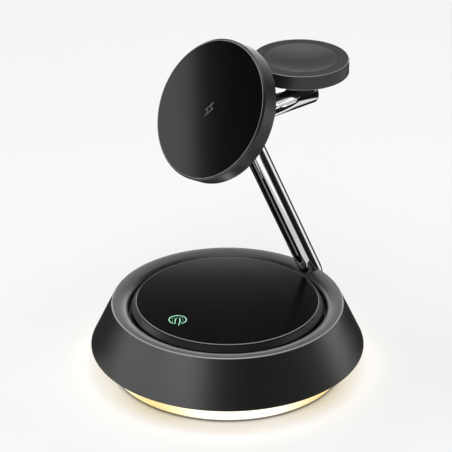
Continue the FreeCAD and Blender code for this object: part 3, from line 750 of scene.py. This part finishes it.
# %% [markdown]
# ## Touch sign
# A lit sign on the pad shows where to touch: an open ring, a fingertip and a few dots. It is a thin film,
# so each stroke is a flat ribbon along a line, with a film's thickness from a Solidify modifier.

# %% Stroke helpers
FILM_T = 0.03 * MM
MITRE_LIMIT = 0.35


def arc_points(radius, first, last, centre=(0.0, 0.0), steps=40):
    """Points of an arc between two angles in degrees."""
    angles = [math.radians(first + (last - first) * k / steps) for k in range(steps + 1)]
    return [(centre[0] + radius * math.cos(a), centre[1] + radius * math.sin(a)) for a in angles]


def film_sign(name, strokes, width, place):
    """Flat ribbons along the strokes, joined in one thin film."""
    verts, faces = [], []
    for points in strokes:
        line = [Vector(p) for p in points]
        closed = (line[0] - line[-1]).length < MERGE
        if closed:
            line.pop()
        count = len(line)
        first = len(verts)
        for k, here in enumerate(line):
            before = line[k - 1] if closed or k > 0 else here
            after = line[(k + 1) % count] if closed or k + 1 < count else here
            into = (here - before).normalized() if before != here else (after - here).normalized()
            out = (after - here).normalized() if after != here else into
            across = Vector((-into.y - out.y, into.x + out.x)).normalized()
            across *= width / 2 / max(across.dot(Vector((-into.y, into.x))), MITRE_LIMIT)
            verts += [(*(here + across), FILM_T), (*(here - across), FILM_T)]
        for k in range(count if closed else count - 1):
            a, b = first + 2 * k, first + 2 * ((k + 1) % count)
            faces.append((a, a + 1, b + 1, b))
    mesh = new_mesh(name, verts, faces)
    mesh.transform(place)
    shade(mesh)
    sign = placed(name, mesh)
    film = sign.modifiers.new("film", "SOLIDIFY")
    film.thickness = FILM_T * 0.9
    film.offset = -1.0
    return sign


# %% Touch sign
TOUCH_Y = -27.3 * MM
TOUCH_R = 3.6 * MM
TOUCH_STROKE = 0.36 * MM
TOUCH_TURN = VIEW_AZIMUTH
FINGER_R = 1.0 * MM
FINGER_TIP = (0, 0.1 * MM)
FINGER_LEFT = (-FINGER_R * 1.05, -3.4 * MM)
FINGER_RIGHT = [(FINGER_R * 0.95, -2.1 * MM), (FINGER_R * 0.4, -4.8 * MM)]
DOT_CIRCLE_R = 2.35 * MM
DOT_ANGLES = (-48, -6, 34, 62, 95, 128, 160, 205)
DOT_HALF = Vector((0.15 * MM, 0))
touch_strokes = [
    arc_points(TOUCH_R, -62, 242),
    [FINGER_LEFT] + arc_points(FINGER_R, 180, 110, FINGER_TIP, 10),
    arc_points(FINGER_R, 62, -20, FINGER_TIP, 10) + FINGER_RIGHT,
]
for degrees in DOT_ANGLES:
    middle = Vector(arc_points(DOT_CIRCLE_R, degrees, degrees, steps=1)[0])
    touch_strokes.append([middle - DOT_HALF, middle + DOT_HALF])
touch_place = Matrix.Translation((0, TOUCH_Y, plate_high.z)) @ Matrix.Rotation(TOUCH_TURN, 4, "Z")
touch_sign = film_sign("touch_sign", touch_strokes, TOUCH_STROKE, touch_place)
dress(touch_sign, touch_finish, "stand", "lamp")

# %% [markdown]
# ## Light ring
# Under the flared side hangs a translucent ring with lamps behind it. It is lit all round and warmer at its
# top.
# The warmth in four sectors is a painted tint for the warmer look of the glow towards the ends of the ring,
# not lamps of another colour, and the dimming at the lip is a painted shadow where the ring meets the floor.


# %% Lit diffuser
# The warm sectors are a painted tint for the warmer look of the glow towards the ends of the ring, not warm
# lamps.
WARM_SECTORS = 4
SECTOR_PHASE = math.radians(138)
WHITE_LIGHT = (1.0, 0.95, 0.84)
WARM_LIGHT = (0.66, 0.50, 0.14)
MILK_TONES = (0.36, 0.32, 0.25), (0.40, 0.36, 0.28)


def lit_diffuser(name, strength, lip_z, top_z):
    """Milky ring that glows: a wave round the axis is 1 amid each white sector and -1 between them."""
    material, tree, shader, where = new_finish(name, Roughness=0.45)
    split = add(tree, "ShaderNodeSeparateXYZ")
    feed(tree, split, Vector=where)
    x, y, z = split.outputs
    phase = calc(tree, "MULTIPLY_ADD", calc(tree, "ARCTAN2", y, x), WARM_SECTORS, SECTOR_PHASE)
    wave = calc(tree, "COSINE", phase)
    painted_sector_warmth = between(tree, wave, 1.0, 0.0, -1.1, 0.45)
    top_warmth = between(tree, z, 0.0, 0.55, top_z - 1.5 * MM, top_z)
    warmth = calc(tree, "MAXIMUM", painted_sector_warmth, top_warmth)
    # The glow is painted down to a tenth at the lip: a painted shadow where the ring meets the floor.
    glow = between(tree, z, strength * 0.1, strength, lip_z + 0.3 * MM, lip_z + 0.7 * MM)
    feed(tree, shader, Emission_Color=mixed(tree, warmth, WHITE_LIGHT, WARM_LIGHT), Emission_Strength=glow)
    milk = noise(tree, where, 6 * MM, 2.0)
    feed(tree, shader, Base_Color=mixed(tree, milk, *MILK_TONES))
    return material


glow_low, glow_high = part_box("diffuser_ring")
GLOW_R = glow_high.x
GLOW_BORE_R = 46.3 * MM
GLOW_TAPER = 1.0 * MM
glow_finish = lit_diffuser("lit_diffuser", 1.2, glow_low.z, 6.0 * MM)
glow_corners = [
    (GLOW_BORE_R, glow_low.z, 0.2 * MM),
    (GLOW_R - GLOW_TAPER, glow_low.z, 0.3 * MM),
    (GLOW_R, glow_high.z),
    (GLOW_BORE_R, glow_high.z),
]
glow_ring = eased_turned("light_ring", glow_corners, closed=True)
dress(glow_ring, glow_finish, "stand", "light_ring", "diffuser_ring")

# %% [markdown]
# ## Foot
# A rubber disc under the chassis. Moulded feet have a few round grooves that let air out and keep them from
# sticking, so the lower side is turned with them.

# %% Foot
foot_low, foot_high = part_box("foot_pad")
FOOT_PAD_R = foot_high.x
GROOVE_W = 1.2 * MM
GROOVE_DEPTH = 0.3 * MM
GROOVE_PITCH = 7.0 * MM
GROOVES = 5
GROOVE_START = 0.7
groove = [(GROOVE_W / 2, 0), (GROOVE_W / 3, GROOVE_DEPTH), (-GROOVE_W / 3, GROOVE_DEPTH), (-GROOVE_W / 2, 0)]
foot_corners = [
    (0.0, foot_high.z),
    (FOOT_PAD_R, foot_high.z, 0.1 * MM),
    (FOOT_PAD_R, foot_low.z, 0.3 * MM),
]
for k in range(GROOVES):
    middle = FOOT_PAD_R - GROOVE_PITCH * (k + GROOVE_START)
    foot_corners += [(middle + r, foot_low.z + z) for r, z in groove]
foot_corners.append((0.0, foot_low.z))
foot = eased_turned("foot_disc", foot_corners)
dress(foot, rubber_finish, "stand", "foot_rubber", "foot_pad")

# %% [markdown]
# ## Phone disc
# The disc is a shallow cup with a chamfered front edge and a polished face in it. Its place comes from the
# record: the middle of the face and the way it looks are a mount there.

# %% Phone disc
phone_mount = next(m for m in frame["record"]["mounts"] if m["name"] == "phone_place")
face_normal = Vector(phone_mount["axis"])
side_axis = Vector((1.0, 0.0, 0.0))
face_up = face_normal.cross(side_axis)
phone_place = Matrix((side_axis, face_up, face_normal)).transposed().to_4x4()
phone_place = Matrix.Translation(phone_mount["pos_m"]) @ phone_place

PHONE_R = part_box("phone_shell")[1].x
PHONE_T = 7.5 * MM
PHONE_CHAMFER = 0.8 * MM
PHONE_BACK_EASE = 0.5 * MM
PHONE_WALL = 2.2 * MM
PHONE_BACK_T = 1.3 * MM
FACE_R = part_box("phone_face")[1].x
FACE_T = 1.2 * MM
RIM_GAP = 0.08 * MM

phone_corners = [
    (0.0, -PHONE_T),
    (PHONE_R, -PHONE_T, PHONE_BACK_EASE),
    (PHONE_R, -PHONE_CHAMFER, 0.15 * MM),
    (PHONE_R - PHONE_CHAMFER, 0.0, FINE_EASE),
    (FACE_R + RIM_GAP, 0.0),
    (FACE_R + RIM_GAP, -FACE_T),
    (PHONE_R - PHONE_WALL, -FACE_T),
    (PHONE_R - PHONE_WALL, -PHONE_T + PHONE_BACK_T),
    (0.0, -PHONE_T + PHONE_BACK_T),
]
phone_cup = eased_turned("phone_cup", phone_corners, place=phone_place)
# A painted highlight line round the edge of the face.
phone_highlight = (FACE_R + RIM_GAP, 0.2 * MM, 0.0, 0.05 * MM)
phone_finish = skin("phone_cup_with_highlight", *SHELL_SKIN, [phone_highlight], phone_place)
dress(phone_cup, phone_finish, "phone_head", "shell_black", "phone_shell")

face_corners = [
    (0.0, -FACE_T),
    (FACE_R, -FACE_T),
    (FACE_R, 0.0, FINE_EASE),
    (0.0, 0.0),
]
face = eased_turned("phone_front", face_corners, place=phone_place)
dress(face, face_finish, "phone_head", "gloss_black", "phone_face")

# %% [markdown]
# ## Charging sign
# A small grey bolt, printed as an outline in the middle of the face. It is the same kind of thin film as
# the touch sign, one closed stroke round six corners.

# %% Charging sign
BOLT_HALF = [(0.8, 3.1), (-1.8, -0.8), (-0.3, -0.65)]
BOLT_STROKE = 0.28 * MM
bolt_corners = [(x * MM, y * MM) for x, y in BOLT_HALF] + [(-x * MM, -y * MM) for x, y in BOLT_HALF]
print_finish = skin("grey_print", (0.20, 0.195, 0.19), 0.5)
bolt_sign = film_sign("bolt_sign", [bolt_corners + bolt_corners[:1]], BOLT_STROKE, phone_place)
dress(bolt_sign, print_finish, "phone_head", "gloss_black")

# %% [markdown]
# ## Watch disc
# A flat cup with a hollowed cap. The hollow is part of a sphere, so its outline is one arc.

# %% Watch disc
watch_low, watch_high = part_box("watch_shell")
dish_low, dish_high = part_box("watch_dish")
WATCH_R = watch_high.x
WATCH_Y = (watch_low.y + watch_high.y) / 2
WATCH_CHAMFER = 0.4 * MM
WATCH_BACK_T = 1.2 * MM
DISH_R = dish_high.x
DISH_DEPTH = 1.8 * MM
DISH_LEDGE = 1.2 * MM
watch_place = Matrix.Translation((0.0, WATCH_Y, 0.0))

watch_corners = [
    (0.0, watch_low.z),
    (WATCH_R - WATCH_CHAMFER, watch_low.z, FINE_EASE),
    (WATCH_R, watch_low.z + WATCH_CHAMFER, FINE_EASE),
    (WATCH_R, watch_high.z - WATCH_CHAMFER, FINE_EASE),
    (WATCH_R - WATCH_CHAMFER, watch_high.z, FINE_EASE),
    (DISH_R + RIM_GAP, watch_high.z, FINE_EASE),
    (DISH_R + RIM_GAP, dish_low.z),
    (DISH_R - DISH_LEDGE, dish_low.z),
    (DISH_R - DISH_LEDGE, watch_low.z + WATCH_BACK_T),
    (0.0, watch_low.z + WATCH_BACK_T),
]
watch_cup = eased_turned("watch_cup", watch_corners, place=watch_place)
# Painted highlight lines along both chamfers of the cup, the upper one narrower.
watch_edges = (watch_low.z + WATCH_CHAMFER / 2, watch_high.z - WATCH_CHAMFER / 2)
watch_highlight_rows = zip(watch_edges, (0.55, 0.2))
watch_highlights = [(WATCH_R, 0.45 * MM, z, WATCH_CHAMFER * share) for z, share in watch_highlight_rows]
watch_finish = skin("watch_cup_with_highlight", *SHELL_SKIN, watch_highlights, watch_place)
dress(watch_cup, watch_finish, "stand", "shell_black", "watch_shell")

# %% Hollow of the watch disc
BOWL_STEPS = 28
BOWL_EDGE = 0.1 * MM
bowl_r = (DISH_R ** 2 + DISH_DEPTH ** 2) / (2 * DISH_DEPTH)
bowl_z = watch_high.z - DISH_DEPTH + bowl_r
dish_outline = [(0.0, dish_low.z), (DISH_R, dish_low.z), (DISH_R, dish_high.z - BOWL_EDGE)]
for k in range(BOWL_STEPS + 1):
    r = (DISH_R - BOWL_EDGE) * (1 - k / BOWL_STEPS)
    dish_outline.append((r, bowl_z - math.sqrt(bowl_r ** 2 - r ** 2)))
dish = turned("watch_hollow", dish_outline, place=watch_place)
dress(dish, dish_finish, "stand", "shell_black", "watch_dish")

# %% [markdown]
# ## Coils
# Under each charging face lies a flat coil, wound from the middle outwards. A spiral is a path, so one tree
# makes all three: a spiral curve with a round wire swept along it.


# %% Tree for a flat coil
def flat_coil_tree():
    """A flat spiral of round wire."""
    tree, source, sink = geometry_tree("flat_coil", {
        "Inner radius": "Float", "Outer radius": "Float", "Wire radius": "Float", "Turns": "Float",
        "Finish": "Material",
    })
    spiral = add(tree, "GeometryNodeCurveSpiral", {"Resolution": 64, "Height": 0.0})
    wire = add(tree, "GeometryNodeCurvePrimitiveCircle", {"Resolution": 10})
    sweep = add(tree, "GeometryNodeCurveToMesh", {"Fill Caps": True})
    wire_up(tree, [
        (source, "Turns", spiral, "Rotations"),
        (source, "Inner radius", spiral, "Start Radius"),
        (source, "Outer radius", spiral, "End Radius"),
        (source, "Wire radius", wire, "Radius"),
        (spiral, "Curve", sweep, "Curve"),
        (wire, "Curve", sweep, "Profile Curve"),
    ])
    end_tree(tree, source, sink, sweep, "Mesh")
    return tree


coil_tree = flat_coil_tree()

# %% Three coils
WIRE_SPACING = 1.04
pad_coil_box, watch_coil_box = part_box("pad_coil"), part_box("watch_coil")
PHONE_COIL_T = 1.4 * MM
coils = [
    ("pad_coil", "stand", pad_coil_box[1].x, 9.0 * MM, pad_coil_box[1].z - pad_coil_box[0].z,
     Matrix.Translation((0, 0, pad_coil_box[1].z))),
    ("watch_coil", "stand", watch_coil_box[1].x, 6.0 * MM, watch_coil_box[1].z - watch_coil_box[0].z,
     Matrix.Translation((0, WATCH_Y, watch_coil_box[1].z))),
    ("phone_coil", "phone_head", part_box("phone_coil")[1].x, 10.0 * MM, PHONE_COIL_T,
     phone_place @ Matrix.Translation((0, 0, -FACE_T))),
]
for node, body, outer, inner, thick, top in coils:
    wire_r = thick / 2
    coil_mesh = grown(node + "_winding", bpy.data.meshes.new("empty"), coil_tree, {
        "Inner radius": inner + wire_r, "Outer radius": outer - wire_r, "Wire radius": wire_r,
        "Turns": (outer - inner - thick) / (thick * WIRE_SPACING), "Finish": copper_finish,
    })
    winding = settled(node + "_winding", coil_mesh, top @ Matrix.Translation((0, 0, -wire_r)))
    dress(winding, copper_finish, body, "copper", node)

# %% [markdown]
# ## Contacts of the inlet
# The inlet's tongue carries a row of gold contacts on each face. One strip is repeated on a grid of points.


# %% Tree for repeated pieces
def repeat_tree():
    """Puts a shape on every point of a mesh."""
    tree, source, sink = geometry_tree("repeat_shape", {"Shape": "Object", "Finish": "Material"})
    info = add(tree, "GeometryNodeObjectInfo", {"As Instance": True})
    spread = add(tree, "GeometryNodeInstanceOnPoints")
    wire_up(tree, [
        (source, "Shape", info, "Object"),
        (source, "Geometry", spread, "Points"),
        (info, "Geometry", spread, "Instance"),
    ])
    end_tree(tree, source, sink, spread, "Instances")
    return tree


# %% Contacts
CONTACTS = 12
CONTACT_PITCH = 0.5 * MM
CONTACT_W = 0.26 * MM
CONTACT_T = 0.05 * MM
CONTACT_L = 3.4 * MM
TONGUE_T = 0.7 * MM
CONTACT_INSET = 2.1 * MM
strip = bar("contact_strip", CONTACT_W, CONTACT_T, 0, (-CONTACT_L, 0.0), 0.0)
rows = (inlet_z + TONGUE_T / 2, inlet_z - TONGUE_T / 2)
columns = [(k - (CONTACTS - 1) / 2) * CONTACT_PITCH for k in range(CONTACTS)]
spots = [(x, recess_y - CONTACT_INSET, z) for z in rows for x in columns]
spots_mesh = new_mesh("contact_spots", spots)
contact_mesh = grown("inlet_contacts", spots_mesh, repeat_tree(), {"Shape": strip, "Finish": gold_finish})
bpy.data.objects.remove(strip)
contacts = settled("inlet_contacts", contact_mesh)
dress(contacts, gold_finish, "stand", "copper")

# %% [markdown]
# ## Finishes of the other solids
# The rest of the solids have the right shape already: hinge, chassis, boards, magnets, screws and leads.
# They only get their finish.

# %% Finishes of the other solids
neck_finish = skin("matt_neck", SHELL_BLACK, 0.6, 0.15)
node_finishes = {
    neck_finish: ["watch_boss"],
    cast_finish: ["hinge_saddle", "phone_yoke"],
    steel_finish: ["hinge_pin", "friction_washers", "yoke_screws", "boss_screw", "chassis_screws",
                   "counterweight", "usb_socket", "phone_magnets", "watch_magnet"],
    chassis_finish: ["base_chassis"],
    rubber_finish: ["wire_harness"],
    board_finish: ["main_board", "led_strip", "phone_board", "watch_board"],
    lamp_finish: ["led_chips"],
    copper_finish: ["touch_electrode"],
    ferrite_finish: ["pad_ferrite", "phone_ferrite", "watch_ferrite"],
}
for finish, names in node_finishes.items():
    for name in names:
        mesh = frame["nodes"][name].data
        mesh.materials.clear()
        mesh.materials.append(finish)
print("finished solids", sum(len(names) for names in node_finishes.values()))

# %% [markdown]
# ## Floor and lights
# A plain pale floor, a wide wash from above for the floor, and soft panels round the stand. On black gloss
# the panels are what draws the form, so each one stands where a face of the stand mirrors it. Dark flags,
# two on the floor and one upright, give the bright tube its dark stripes, as on a product table.

# %% Floor
FLOOR_HALF = 3.0
FLOOR_TONES = (0.80, 0.80, 0.80), (0.82, 0.82, 0.82)


def stage_sheet(name, corners, finish):
    """A flat sheet with one finish, such as the floor or a flag."""
    mesh = new_mesh(name, corners, [tuple(range(len(corners)))])
    mesh.materials.append(finish)
    sheet = placed(name, mesh)
    return sheet


floor_finish, tree, shader, where = new_finish("pale_floor", Roughness=0.9, Specular_IOR_Level=0.0)
feed(tree, shader, Base_Color=mixed(tree, noise(tree, where, 60 * MM), *FLOOR_TONES))
square = [(-1, -1), (1, -1), (1, 1), (-1, 1)]
stage_sheet("floor", [(x * FLOOR_HALF, y * FLOOR_HALF, 0.0) for x, y in square], floor_finish)


# %% Dark flags
def around_stand(degrees):
    """Level direction at an angle from the camera's side, positive to the right in the picture."""
    angle = math.radians(degrees)
    return toward_camera * math.cos(angle) + view_right * math.sin(angle)


def dark_flag(name, corners):
    """A dark sheet that only the gloss of the stand sees."""
    flag = stage_sheet(name, corners, flag_finish)
    flag.visible_camera = False
    flag.visible_diffuse = False
    flag.visible_shadow = False


BACK_FIRST, BACK_LAST, BACK_STEPS = 100, 262, 24
BACK_INNER, BACK_OUTER = 66 * MM, 1500 * MM
BACK_LIFT, SIDE_LIFT = 0.5 * MM, 0.6 * MM
SIDE_FLAG = [(28, 54), (106, 22), (165, 110), (190, 160), (340, 270), (320, 315), (150, 250), (38, 128)]
SHADE_DEGREES = 105
SHADE_DISTANCE, SHADE_W = 90 * MM, 50 * MM
SHADE_LOW, SHADE_HIGH = 95 * MM, 150 * MM
flag_finish = skin("flag_cloth", (0.004, 0.004, 0.004), 0.9, 0.1)
back_turns = [BACK_FIRST + (BACK_LAST - BACK_FIRST) * k / BACK_STEPS for k in range(BACK_STEPS + 1)]
inner_edge = [around_stand(d) * BACK_INNER for d in back_turns]
outer_edge = [around_stand(d) * BACK_OUTER for d in reversed(back_turns)]
dark_flag("back_flag", [(c.x, c.y, BACK_LIFT) for c in inner_edge + outer_edge])
dark_flag("side_flag", [(x * MM, y * MM, SIDE_LIFT) for x, y in SIDE_FLAG])
middle = around_stand(SHADE_DEGREES) * SHADE_DISTANCE
sideways = around_stand(SHADE_DEGREES + 90) * (SHADE_W / 2)
near, far = middle - sideways, middle + sideways
shade_corners = ((near, SHADE_LOW), (far, SHADE_LOW), (far, SHADE_HIGH), (near, SHADE_HIGH))
dark_flag("arm_shade", [(c.x, c.y, z) for c, z in shade_corners])


# %% Lights
def panel(name, place, aim, width, height, radiance, glossy=True, diffuse=True):
    """A soft panel of a given brightness that looks at a point."""
    data = bpy.data.lights.new(name, "AREA")
    data.shape = "RECTANGLE"
    data.size = width
    data.size_y = height
    data.energy = radiance * math.pi * width * height
    light = placed(name, data)
    light.location = place
    light.rotation_euler = (Vector(aim) - Vector(place)).to_track_quat("-Z", "Y").to_euler()
    light.visible_camera = False
    light.visible_glossy = glossy
    light.visible_diffuse = diffuse
    return light


def standing(name, degrees, distance, z_span, width, radiance):
    """An upright panel for reflections that stands round the object and looks at its axis."""
    height = sum(z_span) / 2
    place = around_stand(degrees) * distance + Vector((0, 0, height))
    return panel(name, place, (0, 0, height), width, z_span[1] - z_span[0], radiance, diffuse=False)


def hanging(name, degrees, elevation, distance, width, height, radiance):
    """A panel for reflections that hangs above the table and looks at the stand."""
    slope = math.radians(elevation)
    place = around_stand(degrees) * distance * math.cos(slope) + Vector((0, 0, distance * math.sin(slope)))
    return panel(name, place, (0, 0, 0.05), width, height, radiance, diffuse=False)


FLOOR_WASH = (2.6, 2.6, 2.55)
TOP_GLOSS = (0.36, 0.36, 3.0)
# Name, degrees round the stand, elevation, distance, width, height and brightness.
HANGING = [
    ("back_high", 180, 54, 0.64, 0.55, 0.22, 2.2),
    ("left_back", -150, 17, 0.50, 0.25, 0.10, 2.6),
    ("right_back", 146, 20, 0.50, 0.28, 0.16, 1.2),
]
# Name, degrees round the stand, distance, heights of the lower and upper edge, width and brightness.
STANDING = [
    ("left_low", -80, 0.35, (0.03, 0.13), 0.34, 2.3),
    ("left_front", -38, 0.60, (0.17, 0.29), 0.40, 6.2),
    ("right_low", 105, 0.35, (0.005, 0.11), 0.17, 3.0),
    ("right_tall", 84, 0.62, (0.20, 0.62), 0.34, 0.65),
    ("right_wall", 104, 0.085, (0.100, 0.130), 0.05, 0.6),
    ("back_low", 180, 0.30, (0.04, 0.12), 0.40, 4.2),
    ("back_middle", 180, 0.30, (0.12, 0.168), 0.40, 1.7),
]
panel("floor_wash", (0.0, 0.0, 1.6), (0, 0, 0), *FLOOR_WASH, glossy=False)
panel("top_gloss", (0.0, 0.0, 0.75), (0, 0, 0), *TOP_GLOSS, diffuse=False)
for row in HANGING:
    hanging(*row)
for row in STANDING:
    standing(*row)

# %% [markdown]
# Three more lights have a task each. One panel, turned in its plane, is mirrored in the left half of the
# phone face, one lights the lower wall of the phone disc, and a round one under the housing gives the glow
# on the floor.

# %% Lights with one task
FACE_TURN = math.radians(41.8)
UNDER_AIM = Vector((-0.7, -0.7, 0.14))
GLOW_COLOUR = (1.0, 0.94, 0.85)
face_spot = view_right * -0.20 + toward_camera * -0.0563 + Vector((0, 0, 0.1408))
left_face = panel("left_face", face_spot, face_spot + view_right, 0.10, 0.16, 1.4, diffuse=False)
left_face.rotation_euler.rotate_axis("Z", FACE_TURN)
low_spot = Vector((9, 3, 42)) * MM
panel("under_disc", low_spot, low_spot + UNDER_AIM, 0.05, 0.03, 2.2, diffuse=False)
under_glow = panel("under_glow", (0, 0, 9.6 * MM), (0, 0, 0), 0.113, 0.113, 1.15, glossy=False)
under_glow.data.shape = "DISK"
under_glow.data.color = GLOW_COLOUR

# %% [markdown]
# The bright tube mirrors everything round it. As on a product table, narrow cards stand along it, each one
# where a stripe of the tube mirrors it to the camera. A stripe is named by its two edges across the tube,
# from -1 to 1, and mirrors the direction at twice its angle round the axis.

# %% Cards along the tube
POST_CARDS = [(-0.62, -0.48, 0.15, 0), (-0.26, 0.17, 0.66, 0), (0.66, 0.86, 0.85, -50)]
POST_GAP = 11 * MM
ARM_CARDS = [(-0.12, 0.22, 0.62, 0), (0.82, 0.95, 0.85, 0)]
ARM_GAP = 7.5 * MM
ARM_OVERRUN = 6 * MM


def along_tube(name, start, end, gap, cards, overrun=0.0):
    """Sets cards (edges, brightness, twist in degrees) for a straight run, at a gap from its axis."""
    axis = (end - start).normalized()
    start, end = start - axis * overrun, end + axis * overrun
    facing = view_back - axis * axis.dot(view_back)
    slide = axis * (-axis.dot(view_back) / facing.length)
    facing.normalize()
    across = axis.cross(facing)

    def round_axis(angle):
        """Direction at an angle round the axis, from the side that faces the camera."""
        return facing * math.cos(angle) + across * math.sin(angle)

    for number, (first, last, radiance, twist) in enumerate(cards):
        middle = math.asin(first) + math.asin(last)
        spot = round_axis(middle) * gap
        away = round_axis(middle + math.radians(twist))
        sideways = axis.cross(away)
        hits, paths = [], []
        for edge in (first, last):
            begin = round_axis(math.asin(edge)) * STEM_R
            ray = round_axis(2 * math.asin(edge))
            path = (spot - begin).dot(away) / ray.dot(away)
            hits.append((begin + ray * path - spot).dot(sideways))
            paths.append(path)
        centre = (start + end) / 2 + spot + sideways * (sum(hits) / 2) + slide * (sum(paths) / 2)
        size = abs(hits[1] - hits[0]), (end - start).length
        card = panel(f"{name}_card_{number}", (0, 0, 1), (0, 0, 0), *size, radiance, diffuse=False)
        stand_up = Matrix((sideways, axis, away)).transposed().to_4x4()
        card.matrix_world = Matrix.Translation(centre) @ stand_up


along_tube("post", Vector(stem_path[1]), Vector(stem_path[2]), POST_GAP, POST_CARDS)
along_tube("arm", Vector(stem_path[2]), Vector(stem_path[3]), ARM_GAP, ARM_CARDS, ARM_OVERRUN)

# %% Surroundings
ROOM_COLOUR = (1.0, 0.97, 0.94, 1.0)
ROOM_LIGHT = 0.02
world = bpy.data.worlds.new("studio")
scene.world = world
world.use_nodes = True
background = world.node_tree.nodes["Background"]
background.inputs["Color"].default_value = ROOM_COLOUR
background.inputs["Strength"].default_value = ROOM_LIGHT
scene.view_settings.view_transform = "Standard"
